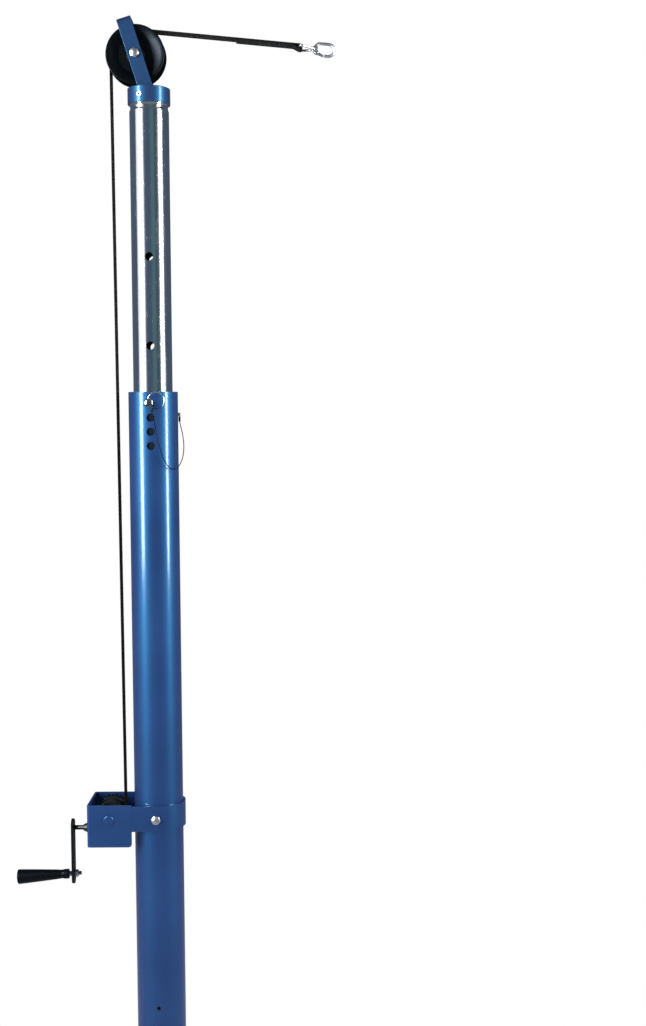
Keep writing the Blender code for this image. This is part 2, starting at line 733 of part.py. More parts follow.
def strap_roll(axis):
    """The strap on the drum: a plain core, and the outer turns as one unbroken ribbon."""
    pitch = STRAP_THICKNESS + WIND_GAP
    outer = ROLL_RADIUS - STRAP_THICKNESS / 2
    inner = outer - pitch * WIND_TURNS
    steps = 30 * WIND_TURNS
    path = []
    for n in range(steps + 1):
        t = n / steps
        radius = inner + (outer - inner) * t
        angle = 2 * math.pi * WIND_TURNS * t
        path.append((radius * math.cos(angle), 0, radius * math.sin(angle)))
    folded("strap_roll", path, (0, STRAP_WIDTH, 0), STRAP_THICKNESS, parent=axis, look=webbing)
    core = inner - STRAP_THICKNESS / 2 - WIND_GAP
    half = STRAP_WIDTH / 2
    bore = DRUM_CORE_RADIUS + GAP
    profile = [(core, half), (core, -half), (bore, -half), (bore, half)]
    turned("strap_core", profile, 30, TO_Y, parent=axis, look=webbing)
    turn = steps // WIND_TURNS
    pairs = [(Vector(a) - Vector(b)).length for a, b in zip(path, path[turn:])]
    print(f"strap_roll: least gap between turns {(min(pairs) - STRAP_THICKNESS) * 1000:.2f} mm")


def tooth_flanks(radius, thickness, pressure, top, root):
    """Half thickness of a tooth at its top and at its root, on a pitch line at radius."""
    slope = math.tan(pressure)
    return thickness / 2 - slope * (top - radius), thickness / 2 + slope * (radius - root)


def worm_wheel(axis):
    """Helical teeth at the worm's lead angle, cut to the worm's pitch with clearance."""
    top = WHEEL_PITCH_RADIUS + WHEEL_MODULE * 0.9
    root = WHEEL_PITCH_RADIUS - WHEEL_MODULE * 1.25
    thickness = (math.pi * WHEEL_MODULE - TOOTH_BACKLASH) / 2
    tip, foot = tooth_flanks(WHEEL_PITCH_RADIUS, thickness, math.radians(22), top, root)
    pitch_angle = 2 * math.pi / WHEEL_TEETH
    outline = []
    for n in range(WHEEL_TEETH):
        middle = -math.pi / 2 + (n + 0.5) * pitch_angle
        for radius, half in ((root, -foot), (top, -tip), (top, tip), (root, foot)):
            angle = middle + half / radius
            outline.append((radius, angle))
    lead_angle = math.atan(WORM_LEAD / (2 * math.pi * WORM_PITCH_RADIUS))
    twist = WHEEL_WIDTH * math.tan(lead_angle) / WHEEL_PITCH_RADIUS
    half = WHEEL_WIDTH / 2
    layers = 2
    mesh = bpy.data.meshes.new("worm_wheel")
    shape = bmesh.new()
    rings = []
    for layer in range(layers + 1):
        t = layer / layers - 0.5
        ring = []
        for radius, angle in outline:
            turn = angle - twist * t
            spot = (radius * math.cos(turn), WHEEL_WIDTH * t, radius * math.sin(turn))
            ring.append(shape.verts.new(spot))
        rings.append(ring)
    count = len(outline)
    for low, high in zip(rings, rings[1:]):
        for n in range(count):
            after = (n + 1) % count
            shape.faces.new((low[n], high[n], high[after], low[after]))
    shape.faces.new(rings[0])
    shape.faces.new(rings[-1][::-1])
    bmesh.ops.recalc_face_normals(shape, faces=shape.faces)
    shape.to_mesh(mesh)
    shape.free()
    wheel = add("worm_wheel", mesh, at=(0, WHEEL_Y, 0), parent=axis, look=bronze)
    bore = DRUM_HUB_RADIUS + GAP
    drilled(wheel, bore, -half - 0.01, half + 0.01, (0, WHEEL_Y, 0), parent=axis)
    dish = [(0.0165, half + 0.01), (0.0165, half - 0.002), (0.0115, half - 0.002), (0.0115, half + 0.01)]
    for side in (TO_Y, -TO_Y):
        name = "wheel_dish_back" if side == TO_Y else "wheel_dish_front"
        tool = turned(name, dish, 24, side, at=(0, WHEEL_Y, 0), parent=axis, cutter=True)
        cut(wheel, tool)


def worm_shaft(axis):
    """Shaft with its worm: one thread, a trapezoid swept along a helix and joined to the core."""
    left = ARM_X - ARM_THICKNESS / 2 - 0.0012
    bearing = DRUM_X + BEARING_BEYOND_AXIS + BEARING_THICKNESS
    half = WORM_LEAD * WORM_TURNS / 2
    collar = HOUSING_X + HOUSING_WALL + 0.003
    profile = [
        (0, bearing + 0.001),
        (SHAFT_RADIUS, bearing + 0.001),
        (SHAFT_RADIUS, DRUM_X + half + 0.002),
        (WORM_ROOT, DRUM_X + half + 0.001),
        (WORM_ROOT, DRUM_X - half - 0.001),
        (SHAFT_RADIUS, DRUM_X - half - 0.002),
        (SHAFT_RADIUS, collar + 0.003),
        (SHAFT_RADIUS + 0.0018, collar + 0.003),
        (SHAFT_RADIUS + 0.0018, collar),
        (SHAFT_RADIUS, collar),
        (SHAFT_RADIUS, left + 0.0005),
        (SHAFT_RADIUS - 0.0005, left),
        (0, left),
    ]
    origin = ARM_X
    profile = [(radius, along - origin) for radius, along in profile]
    shaft = turned("worm_shaft", profile, 20, TO_X, parent=axis, look=dark_steel)
    thickness = (WORM_LEAD - TOOTH_BACKLASH) / 2
    sunk = WORM_ROOT - 0.0006
    tip, foot = tooth_flanks(WORM_PITCH_RADIUS, thickness, math.radians(22), WORM_OUTER, sunk)
    section = ((sunk, -foot), (WORM_OUTER, -tip), (WORM_OUTER, tip), (sunk, foot))
    steps = 18
    total = int(steps * (WORM_TURNS - 1))
    mesh = bpy.data.meshes.new("worm_thread")
    shape = bmesh.new()
    rings = []
    for n in range(total + 1):
        turns = n / steps - (WORM_TURNS - 1) / 2
        angle = 2 * math.pi * turns + math.pi / 2
        ring = []
        for radius, along in section:
            x = DRUM_X - origin + WORM_LEAD * turns + along
            ring.append(shape.verts.new((x, radius * math.cos(angle), radius * math.sin(angle))))
        rings.append(ring)
    for low, high in zip(rings, rings[1:]):
        for n in range(4):
            after = (n + 1) % 4
            shape.faces.new((low[n], low[after], high[after], high[n]))
    shape.faces.new(rings[0][::-1])
    shape.faces.new(rings[-1])
    bmesh.ops.recalc_face_normals(shape, faces=shape.faces)
    shape.to_mesh(mesh)
    shape.free()
    thread = add("worm_thread", mesh, parent=axis, cutter=True)
    cut(shaft, thread, "UNION")


def shaft_supports():
    inside = HOUSING_X + HOUSING_WALL + 0.0024
    wall = HOUSING_X - GAP
    end = HOUSING_X - SHAFT_BUSH_LENGTH
    bore = SHAFT_RADIUS + GAP
    profile = [
        (SHAFT_BUSH_RADIUS, inside - HOUSING_X),
        (SHAFT_BUSH_RADIUS, wall - HOUSING_X),
        (SHAFT_BUSH_FLANGE, wall - HOUSING_X),
        (SHAFT_BUSH_FLANGE, (wall + end) / 2 - HOUSING_X - 0.002),
        (bore + 0.0009, end - HOUSING_X),
        (bore, end - HOUSING_X),
        (bore, inside - HOUSING_X),
    ]
    turned("shaft_bush", profile, 20, TO_X, at=(HOUSING_X, WHEEL_Y, WORM_Z), look=dark_steel)
    back = HOUSING_INNER - GAP - WHEEL_Y
    corner = BEARING_RADIUS
    outline = [
        (-back, -corner),
        *circle(corner, (0, 0), 12, -math.pi / 2, math.pi),
        (-back, corner),
    ]
    loops = [outline, circle(bore)]
    turn = (0, math.pi / 2, math.pi)
    middle = DRUM_X + BEARING_BEYOND_AXIS + BEARING_THICKNESS / 2
    outline_turned = [[(y, x) for x, y in loop] for loop in loops]
    spot = (middle, WHEEL_Y, WORM_Z)
    plate("worm_bearing", outline_turned, BEARING_THICKNESS, turn, at=spot, look=dark_steel)


def crank(axis):
    up = ARM_ABOVE_SHAFT - ARM_WIDTH / 2
    down = ARM_REACH + ARM_BELOW_SPINDLE - ARM_WIDTH / 2
    radius = ARM_WIDTH / 2
    outline = [
        *circle(radius, (down, 0), 12, -math.pi / 2, math.pi),
        *circle(radius, (-up, 0), 12, math.pi / 2, math.pi),
    ]
    loops = [outline, circle(SHAFT_RADIUS + GAP), circle(SPINDLE_RADIUS + GAP, (ARM_REACH, 0))]
    turn = (0, math.pi / 2, 0)
    plate("crank_arm", loops, ARM_THICKNESS, turn, parent=axis, look=black_paint)
    lean = Vector((math.cos(SPINDLE_DROOP), 0, math.sin(SPINDLE_DROOP)))
    spot = (0, 0, -ARM_REACH)
    slant = SPINDLE_RADIUS * math.tan(SPINDLE_DROOP) + GAP
    nut_low = ARM_THICKNESS / 2 + slant + NUT_ACROSS / 2 * math.tan(SPINDLE_DROOP)
    end = -ARM_THICKNESS / 2 - GRIP_GAP - GRIP_LENGTH
    recess = end + GRIP_RECESS
    head = GRIP_RECESS_RADIUS - 0.0005
    profile = [
        (0, nut_low + NUT_HEIGHT + 0.0035),
        (SPINDLE_END - 0.0005, nut_low + NUT_HEIGHT + 0.0035),
        (SPINDLE_END, nut_low + NUT_HEIGHT + 0.003),
        (SPINDLE_END, ARM_THICKNESS / 2 + slant),
        (SPINDLE_RADIUS, ARM_THICKNESS / 2 + slant),
        (SPINDLE_RADIUS, recess - GAP),
        (head, recess - GAP),
        (head, recess - 0.003),
        (head - 0.0007, recess - 0.0036),
        (0, recess - 0.0036),
    ]
    turned("grip_spindle", profile, 20, lean, at=spot, parent=axis, look=chrome)
    middle = Vector(spot) + lean * (nut_low + NUT_HEIGHT / 2)
    hex_nut(
        "spindle_nut", SPINDLE_END + GAP, NUT_ACROSS, NUT_HEIGHT, facing(lean),
        at=middle, parent=axis, look=steel,
    )
    return lean


def crank_grip(axis, lean):
    start = -ARM_THICKNESS / 2 - GRIP_GAP
    end = start - GRIP_LENGTH
    neck = start - GRIP_COLLAR_LENGTH
    bore = SPINDLE_RADIUS + RUN
    floor = end + GRIP_RECESS
    body = []
    steps = 5
    for n in range(steps + 1):
        t = n / steps
        along = neck - 0.0045 + (end + 0.002 - neck + 0.0045) * t
        radius = GRIP_NECK_RADIUS + (GRIP_END_RADIUS - GRIP_NECK_RADIUS) * t ** 0.85
        body.append((radius, along))
    profile = [
        (bore, start),
        (GRIP_COLLAR_RADIUS - 0.0006, start),
        (GRIP_COLLAR_RADIUS, start - 0.0006),
        (GRIP_COLLAR_RADIUS, neck),
        (GRIP_NECK_RADIUS + 0.0002, neck - 0.0025),
        *body,
        (GRIP_END_RADIUS - 0.0004, end + 0.0006),
        (GRIP_END_RADIUS - 0.0015, end),
        (GRIP_RECESS_RADIUS, end),
        (GRIP_RECESS_RADIUS, floor),
        (bore, floor),
    ]
    turned("crank_grip", profile, 28, lean, parent=axis, look=black_plastic)


def strap_rise():
    """The strap's straight run from the drum up to the pulley."""
    low = (STRAP_X, 0, DRUM_Z)
    high = (PULLEY_X - LEAD_RADIUS, 0, AXLE_Z - 0.0005)
    folded("strap_rise", [low, high], (0, STRAP_WIDTH, 0), STRAP_THICKNESS, look=webbing)


def lead_frame(parent):
    """An empty where the hook's eye bar lies, with +X along the strap's run to the net."""
    start = math.pi / 2 - LEAD_SLOPE
    tangent = Vector((PULLEY_X + LEAD_RADIUS * math.cos(start), 0, AXLE_Z + LEAD_RADIUS * math.sin(start)))
    run = Vector((math.cos(LEAD_SLOPE), 0, -math.sin(LEAD_SLOPE)))
    up = Vector((math.sin(LEAD_SLOPE), 0, math.cos(LEAD_SLOPE)))
    return pivot("hook_frame", tangent + run * LEAD_LENGTH - up * SEWN_LOOP, parent, (0, LEAD_SLOPE, 0))


def strap_lead(hook):
    """Over the pulley, out to the hook's eye bar, round it and back as the sewn layer."""
    centre = Vector((-LEAD_LENGTH, 0, SEWN_LOOP - LEAD_RADIUS))
    sweep = math.pi / 2 + LEAD_SLOPE
    steps = 26
    path = []
    for n in range(steps + 1):
        angle = math.pi / 2 + sweep * (1 - n / steps)
        path.append(centre + LEAD_RADIUS * Vector((math.cos(angle), 0, math.sin(angle))))
    back = Vector((-0.012, 0, SEWN_LOOP - STRAP_THICKNESS - WIND_GAP))
    leave = math.atan2(back.z, back.x) + math.acos(SEWN_LOOP / back.length) - 2 * math.pi
    turns = 10
    for n in range(turns + 1):
        angle = math.pi / 2 + (leave - math.pi / 2) * n / turns
        path.append(SEWN_LOOP * Vector((math.cos(angle), 0, math.sin(angle))))
    path.append(back)
    path.append(Vector((-SEWN_LENGTH, 0, back.z)))
    folded("strap_lead", path, (0, STRAP_WIDTH, 0), STRAP_THICKNESS, parent=hook, look=webbing)


def snap_hook(frame):
    """Cast hook: a trapezoid eye as wide as the strap, a shank with the gate's ears, and a bent nose."""
    near = STRAP_WIDTH / 2 + EYE_SIDE
    far = 0.0045
    corners = [(0, -near, 0), (EYE_LENGTH, -far, 0), (EYE_LENGTH, far, 0), (0, near, 0)]
    path = filleted(corners, [EYE_CORNER, 0.003, 0.003, EYE_CORNER], 4, closed=True)
    eye = as_mesh(wire("snap_hook", path, EYE_WIRE, closed=True, parent=frame))
    eye.data.materials.append(steel)
    high = HOOK_HALF_HEIGHT
    start = EYE_LENGTH - 0.001
    end = EYE_LENGTH + HOOK_LENGTH
    corners = [
        (start, 0, 0),
        (start + 0.008, 0, high),
        (end - 0.002, 0, high),
        (end, 0, -high),
        (end - HOOK_POINT, 0, -high),
    ]
    path = filleted(corners, [0, 0.006, 0.0085, 0.0085, 0], 5)
    nose = as_mesh(wire("hook_nose", path, HOOK_WIRE, resolution=3, parent=frame, cutter=True))
    cut(eye, nose, "UNION")
    gate = gate_spot()
    body = [
        (start - 0.001, -0.0030),
        (start - 0.001, 0.0030),
        (start + 0.0060, 0.0068),
        (gate[0] + 0.0022, 0.0040),
        (gate[0] + 0.0030, gate[2] - 0.0014),
        (gate[0] - 0.0010, gate[2] - 0.0032),
        (start + 0.0005, -0.0045),
    ]
    outline = [(spot.x, spot.y) for spot in filleted([(x, z) for x, z in body], 0.0012, 3, closed=True)]
    upright = (math.pi / 2, 0, 0)
    width = GATE_WIDTH + 2 * GAP + 0.0032
    cheeks = as_mesh(plate("hook_cheeks", [outline], width, upright, parent=frame, cutter=True))
    cut(eye, cheeks, "UNION")
    slot = (0.0080, GATE_WIDTH + 2 * GAP, 0.0105)
    slot_spot = (gate[0] + 0.0008, 0, gate[2] - 0.0002)
    cut(eye, block("gate_slot", slot, at=slot_spot, parent=frame, cutter=True))
    drilled(eye, GATE_PIN_RADIUS + GAP, -0.02, 0.02, gate, sides=12, parent=frame)
    half = width / 2
    rod("gate_pin", GATE_PIN_RADIUS, -half, half, 12, along=TO_Y, at=gate, parent=frame, look=steel)


def gate_spot():
    """The gate's pivot in the hook's frame."""
    return (EYE_LENGTH + 0.0055, 0, -0.0052)


def hook_gate(axis):
    """A lever from its pivot in the cheeks to the nose's tip."""
    root = 0.0024
    tip = 0.0013
    nose = EYE_LENGTH + HOOK_LENGTH - HOOK_POINT
    spot = gate_spot()
    reach = Vector((nose - 0.0008 - tip - spot[0], -HOOK_HALF_HEIGHT - spot[2]))
    lean = math.atan2(reach.y, reach.x)
    side = math.asin((root - tip) / reach.length)
    near = circle(root, (0, 0), 10, lean + math.pi / 2 - side, math.pi + 2 * side)
    far = circle(tip, reach, 8, lean - math.pi / 2 + side, math.pi - 2 * side)
    upright = (math.pi / 2, 0, 0)
    loops = [near + far, circle(GATE_PIN_RADIUS + GAP, sides=12)]
    plate("hook_gate", loops, GATE_WIDTH, upright, parent=axis, look=steel)


def lock_pin(axis):
    nose = PIN_NOSE_Y - PIN_HOLE_Y
    seat = PIN_HEAD_Y - PIN_HOLE_Y
    end = seat - PIN_HEAD_LENGTH
    profile = [
        (0, nose),
        (PIN_RADIUS - 0.0018, nose),
        (PIN_RADIUS, nose - PIN_NOSE),
        (PIN_RADIUS, seat),
        (PIN_HEAD_RADIUS, seat),
        (PIN_HEAD_RADIUS, end + 0.0012),
        (PIN_HEAD_RADIUS - 0.0012, end),
        (0, end),
    ]
    pin = turned("lock_pin", profile, 24, TO_Y, parent=axis, look=chrome)
    along = Vector((-math.sin(RING_TURN), 0, math.cos(RING_TURN)))
    drilled(pin, RING_HOLE_RADIUS, -0.02, 0.02, (0, 0, 0), along, parent=axis)


def pin_ring(axis):
    out = Vector((math.cos(RING_TURN), 0, math.sin(RING_TURN)))
    centre = out * RING_OFFSET
    steps = 30
    path = []
    for n in range(steps):
        angle = 2 * math.pi * n / steps
        path.append(centre + RING_RADIUS * Vector((math.cos(angle), 0, math.sin(angle))))
    wire("pin_ring", path, RING_WIRE, closed=True, parent=axis, look=steel)
    down = Vector((math.sin(RING_TURN), 0, -math.cos(RING_TURN)))
    along = PIN_HEAD_RADIUS + 0.0025
    inner = RING_OFFSET - math.sqrt(RING_RADIUS ** 2 - along ** 2)
    on_wire = out * inner + down * along
    away = (on_wire - centre).normalized()
    hold = EYE_LOOP_RADIUS - LANYARD_RADIUS - RING_WIRE - GAP
    middle = on_wire + away * hold
    end = lanyard_end("lanyard_pin_end", middle, away, TO_Y, down, along + 0.0020, axis)
    return end


def lanyard_end(name, middle, away, across, down, start, parent, anchor=None):
    """A crimped eye of the lanyard: a loop of its cable and the ferrule that closes it."""
    steps = 16
    path = []
    for n in range(steps):
        angle = 2 * math.pi * n / steps
        path.append(middle + EYE_LOOP_RADIUS * (away * math.cos(angle) + across * math.sin(angle)))
    loop = as_mesh(wire(name, path, LANYARD_RADIUS, closed=True, parent=parent))
    loop.data.materials.append(dark_steel)
    base = anchor if anchor else Vector((0, 0, 0))
    ferrule = rod(
        name + "_ferrule", FERRULE_RADIUS, start, start + FERRULE_LENGTH, 12,
        along=down, at=base, parent=parent, cutter=True,
    )
    cut(loop, ferrule, "UNION")
    return base + down * (start + FERRULE_LENGTH + GAP)


def lanyard_anchor():
    z = PIN_Z - ANCHOR_BELOW_PIN
    low = TUBE_BORE - 0.001
    seat = TUBE_RADIUS + GAP + ANCHOR_NECK
    profile = [
        (0, seat + 0.0016),
        (ANCHOR_HEAD - 0.0008, seat + 0.0016),
        (ANCHOR_HEAD, seat + 0.0006),
        (ANCHOR_HEAD, seat),
        (ANCHOR_RADIUS, seat),
        (ANCHOR_RADIUS, low),
        (0, low),
    ]
    turned("lanyard_anchor", profile, 16, TO_X, at=(0, 0, z), look=steel)
    x = TUBE_RADIUS + GAP + ANCHOR_NECK / 2
    hold = EYE_LOOP_RADIUS - LANYARD_RADIUS - ANCHOR_RADIUS - GAP
    middle = Vector((x, 0, z - hold))
    anchor = Vector((x + 0.0008, 0, z))
    return lanyard_end("lanyard_post_end", middle, -TO_Z, TO_Y, -TO_Z, ANCHOR_HEAD + RUN, None, anchor)


def smooth(route, spacing):
    """Points at an even spacing on a smooth curve through the route's own points."""
    ends = [2 * route[0] - route[1], *route, 2 * route[-1] - route[-2]]
    dense = []
    for a, b, c, d in zip(ends, ends[1:], ends[2:], ends[3:]):
        for n in range(20):
            t = n / 20
            one = 2 * b + (c - a) * t
            two = (2 * a - 5 * b + 4 * c - d) * t * t + (3 * b - a - 3 * c + d) * t ** 3
            dense.append((one + two) / 2)
    dense.append(route[-1])
    length = sum((q - p).length for p, q in zip(dense, dense[1:]))
    count = max(2, round(length / spacing))
    path = [dense[0]]
    walked = 0.0
    for p, q in zip(dense, dense[1:]):
        span = (q - p).length
        while len(path) < count and walked + span >= length * len(path) / count:
            share = (length * len(path) / count - walked) / span
            path.append(p.lerp(q, share))
        walked += span
    path.append(dense[-1])
    return path, length


def lanyard(first, last):
    """The cable that keeps the pin on the post, from the pin's eye round the tube's side to its anchor."""
    route = [
        first,
        Vector((0.0080, PIN_HOLE_Y + 0.0039, PIN_Z - 0.0300)),
        Vector((0.0105, PIN_HOLE_Y + 0.0089, PIN_Z - 0.0480)),
        Vector((0.0150, -TUBE_RADIUS - 0.0059, PIN_Z - 0.0700)),
        Vector((0.0215, -TUBE_RADIUS - 0.0009, PIN_Z - 0.0890)),
        Vector((0.0300, -0.0315, PIN_Z - 0.1000)),
        Vector((TUBE_RADIUS + 0.0004, -0.0210, PIN_Z - 0.0985)),
        Vector((TUBE_RADIUS + 0.0067, -0.0110, PIN_Z - 0.0860)),
        Vector((TUBE_RADIUS + 0.0089, -0.0050, PIN_Z - 0.0680)),
        Vector((TUBE_RADIUS + 0.0069, -0.0015, PIN_Z - 0.0480)),
        last,
    ]
    path, length = smooth(route, 0.0034)
    wire("lanyard", path, LANYARD_RADIUS, resolution=2, look=dark_steel)
    print(f"lanyard: {length * 1000:.0f} mm of cable between its eyes")


def build():
    outer_tube()
    foot_plug()
    tube_top_bush()
    mast_stop_pin()
    winch_housing()
    clamp_band()
    drum_axle()
    shaft_supports()

    mast = pivot("mast_slide", (0, 0, 0))
    mast_tube(mast)
    mast_foot_guide(mast)
    head_collar(mast)
    axle = pivot("pulley_spin", (PULLEY_X, 0, AXLE_Z), mast)
    pulley_bracket(axle)
    pulley_fasteners(axle)
    pulley(axle)

    drum = pivot("drum_spin", (DRUM_X, 0, DRUM_Z))
    winch_drum(drum)
    strap_roll(drum)
    worm_wheel(drum)
    handle = pivot("crank_spin", (ARM_X, WHEEL_Y, WORM_Z))
    worm_shaft(handle)
    lean = crank(handle)
    spindle = pivot("grip_spin", (0, 0, -ARM_REACH), handle)
    crank_grip(spindle, lean)

    strap_rise()
    hook = lead_frame(mast)
    strap_lead(hook)
    snap_hook(hook)
    gate = pivot("gate_swing", gate_spot(), hook)
    hook_gate(gate)

    pin = pivot("pin_slide", (0, PIN_HOLE_Y, PIN_Z))
    lock_pin(pin)
    swing = pivot("ring_swing", (0, 0, 0), pin)
    first = pin_ring(swing) + Vector((0, PIN_HOLE_Y, PIN_Z))
    last = lanyard_anchor()
    lanyard(first, last)


build()
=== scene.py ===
# %% [markdown]
# # Dressing a telescoping net post
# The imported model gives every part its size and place. This lesson rebuilds each part that shows as a
# finer mesh on the same sizes, and gives it the surface that the real material has.

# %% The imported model
import json
import math

import bmesh
import bpy
from mathutils import Matrix, Vector


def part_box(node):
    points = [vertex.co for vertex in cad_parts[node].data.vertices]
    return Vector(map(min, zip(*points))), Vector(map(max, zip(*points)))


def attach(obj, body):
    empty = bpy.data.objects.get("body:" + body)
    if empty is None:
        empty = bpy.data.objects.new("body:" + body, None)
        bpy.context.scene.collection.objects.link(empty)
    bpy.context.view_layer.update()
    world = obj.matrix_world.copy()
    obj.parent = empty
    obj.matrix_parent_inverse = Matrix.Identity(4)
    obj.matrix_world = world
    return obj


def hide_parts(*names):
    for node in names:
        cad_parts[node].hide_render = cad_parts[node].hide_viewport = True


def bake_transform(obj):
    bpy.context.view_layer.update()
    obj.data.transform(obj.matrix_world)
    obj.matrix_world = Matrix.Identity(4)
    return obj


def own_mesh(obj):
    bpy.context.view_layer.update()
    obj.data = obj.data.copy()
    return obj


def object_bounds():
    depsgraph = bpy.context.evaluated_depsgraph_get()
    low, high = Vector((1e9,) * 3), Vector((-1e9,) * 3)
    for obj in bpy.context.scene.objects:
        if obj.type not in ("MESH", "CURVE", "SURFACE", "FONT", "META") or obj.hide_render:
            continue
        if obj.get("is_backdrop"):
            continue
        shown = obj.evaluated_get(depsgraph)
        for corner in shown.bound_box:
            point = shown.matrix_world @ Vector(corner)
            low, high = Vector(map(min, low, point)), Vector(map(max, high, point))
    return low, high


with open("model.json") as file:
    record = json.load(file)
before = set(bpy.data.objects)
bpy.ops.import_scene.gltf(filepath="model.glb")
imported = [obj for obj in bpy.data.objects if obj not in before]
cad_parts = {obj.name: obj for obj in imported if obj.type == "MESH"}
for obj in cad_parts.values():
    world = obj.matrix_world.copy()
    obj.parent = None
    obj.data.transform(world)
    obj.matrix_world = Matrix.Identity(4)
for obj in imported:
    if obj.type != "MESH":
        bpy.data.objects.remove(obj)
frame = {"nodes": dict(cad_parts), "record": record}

CAD_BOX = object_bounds()
scene = bpy.context.scene
scene.view_settings.view_transform = "Standard"
RECORD = frame["record"]
BODY_OF = {node: body for body, nodes in RECORD["behaviour"]["bodies"].items() for node in nodes}

# %% [markdown]
# ## The camera
# The picture was taken from about two metres away, a little to the right of the post and just below its
# head, with the lens tipped down by four degrees. A camera's focal length in millimetres follows from the
# focal length in pixels, because the sensor's long side spans the picture's long side.

# %% Camera
PICTURE_HEIGHT = 1026
FOCAL_PIXELS = 1410
SENSOR = 36
CAMERA_PLACE = (0.2621, -2.1926, 2.1005)
TIPPED_DOWN = 3.97
ROLLED = -0.347
lens = bpy.data.cameras.new("camera")
lens.sensor_width = SENSOR
lens.lens = FOCAL_PIXELS * SENSOR / PICTURE_HEIGHT
camera = bpy.data.objects.new("camera", lens)
scene.collection.objects.link(camera)
stand = Matrix.Translation(CAMERA_PLACE)
tip = Matrix.Rotation(math.radians(90 - TIPPED_DOWN), 4, "X")
camera.matrix_world = stand @ tip @ Matrix.Rotation(math.radians(ROLLED), 4, "Z")
scene.camera = camera
print("lens", round(lens.lens, 2), "mm")

# %% [markdown]
# ## Writing shader maths as Python
# A shader is easier to read as a formula than as a heap of nodes. One small class wraps a socket, and its
# operators add the Math nodes. Everything else goes through one method that adds a node: first its
# settings, then its sockets.


# %% Nodes
class Value:
    """A socket of a node; arithmetic on it adds Math nodes."""

    def __init__(self, nodes, socket):
        self.nodes = nodes
        self.socket = socket

    def maths(self, operation, *values):
        return self.nodes.node("Math", {"operation": operation}, dict(enumerate(values)))

    def __add__(self, other):
        return self.maths("ADD", self, other)

    def __mul__(self, other):
        return self.maths("MULTIPLY", self, other)

    def __truediv__(self, other):
        return self.maths("DIVIDE", self, other)

    __radd__ = __add__
    __rmul__ = __mul__

    def sine(self):
        return self.maths("SINE", self)

    def size(self):
        return self.maths("ABSOLUTE", self)

    def floor(self):
        return self.maths("FLOOR", self)

    def between(self, low, high):
        """0 below one value and 1 above the other, with a straight rise between; either may be the larger."""
        return self.nodes.node("MapRange", {}, {0: self, 1: low, 2: high})


class Nodes:
    """A node tree that grows one call at a time."""

    def __init__(self, tree):
        self.tree = tree

    def node(self, kind, settings=None, sockets=None, output=0):
        made = self.tree.nodes.new("ShaderNode" + kind)
        for name, value in (settings or {}).items():
            setattr(made, name, value)
        for key, value in (sockets or {}).items():
            if isinstance(value, Value):
                self.tree.links.new(value.socket, made.inputs[key])
            else:
                made.inputs[key].default_value = value
        return Value(self, made.outputs[output])

    def mix(self, share, low, high):
        """Between two colours."""
        return self.node("Mix", {"data_type": "RGBA"}, {0: share, 6: low, 7: high}, 2)

    def stretched(self, where, scale):
        return self.node("Mapping", {}, {"Vector": where, "Scale": scale})

    def noise(self, where, scale, detail=2.0, roughness=0.5):
        sockets = {"Vector": where, "Scale": scale, "Detail": detail, "Roughness": roughness}
        return self.node("TexNoise", {}, sockets)

    def part(self, vector, axis):
        return self.node("SeparateXYZ", {}, {0: vector}, "XYZ".index(axis))


def grey(colour):
    return (*colour, 1.0)


class Finish(Nodes):
    """A material: its fixed numbers sit on the shader's own sockets, what varies is linked."""

    def __init__(self, name, slot, colour, roughness, metallic=0.0, **fixed):
        self.material = bpy.data.materials.new(name)
        self.material.use_nodes = True
        self.slot = slot
        super().__init__(self.material.node_tree)
        self.shader = self.tree.nodes["Principled BSDF"]
        self.shader.inputs["Base Color"].default_value = grey(colour)
        self.shader.inputs["Roughness"].default_value = roughness
        self.shader.inputs["Metallic"].default_value = metallic
        for key, value in fixed.items():
            self.shader.inputs[key].default_value = value
        self.place = self.node("TexCoord", output="Object")

    def set(self, socket, value):
        self.tree.links.new(value.socket, self.shader.inputs[socket])

    def worn_and_highlit(self, radius, scale=300):
        """1 along the edges, broken up by a rough pattern, 0 on the faces: rubbed edges, and on paint a
        painted highlight.
        """
        rounded = self.node("Bevel", {"samples": 4}, {"Radius": radius})
        true = self.node("NewGeometry", output="Normal")
        agree = self.node("VectorMath", {"operation": "DOT_PRODUCT"}, {0: rounded, 1: true}, "Value")
        return agree.between(0.995, 0.9) * self.noise(self.place, scale, 4, 0.7).between(0.4, 0.62)

    def bump(self, height, distance, strength=1.0):
        """Relief whose height is in 0..1 and its depth in metres."""
        relief = {"Strength": strength, "Distance": distance, "Height": height}
        self.set("Normal", self.node("Bump", {}, relief))
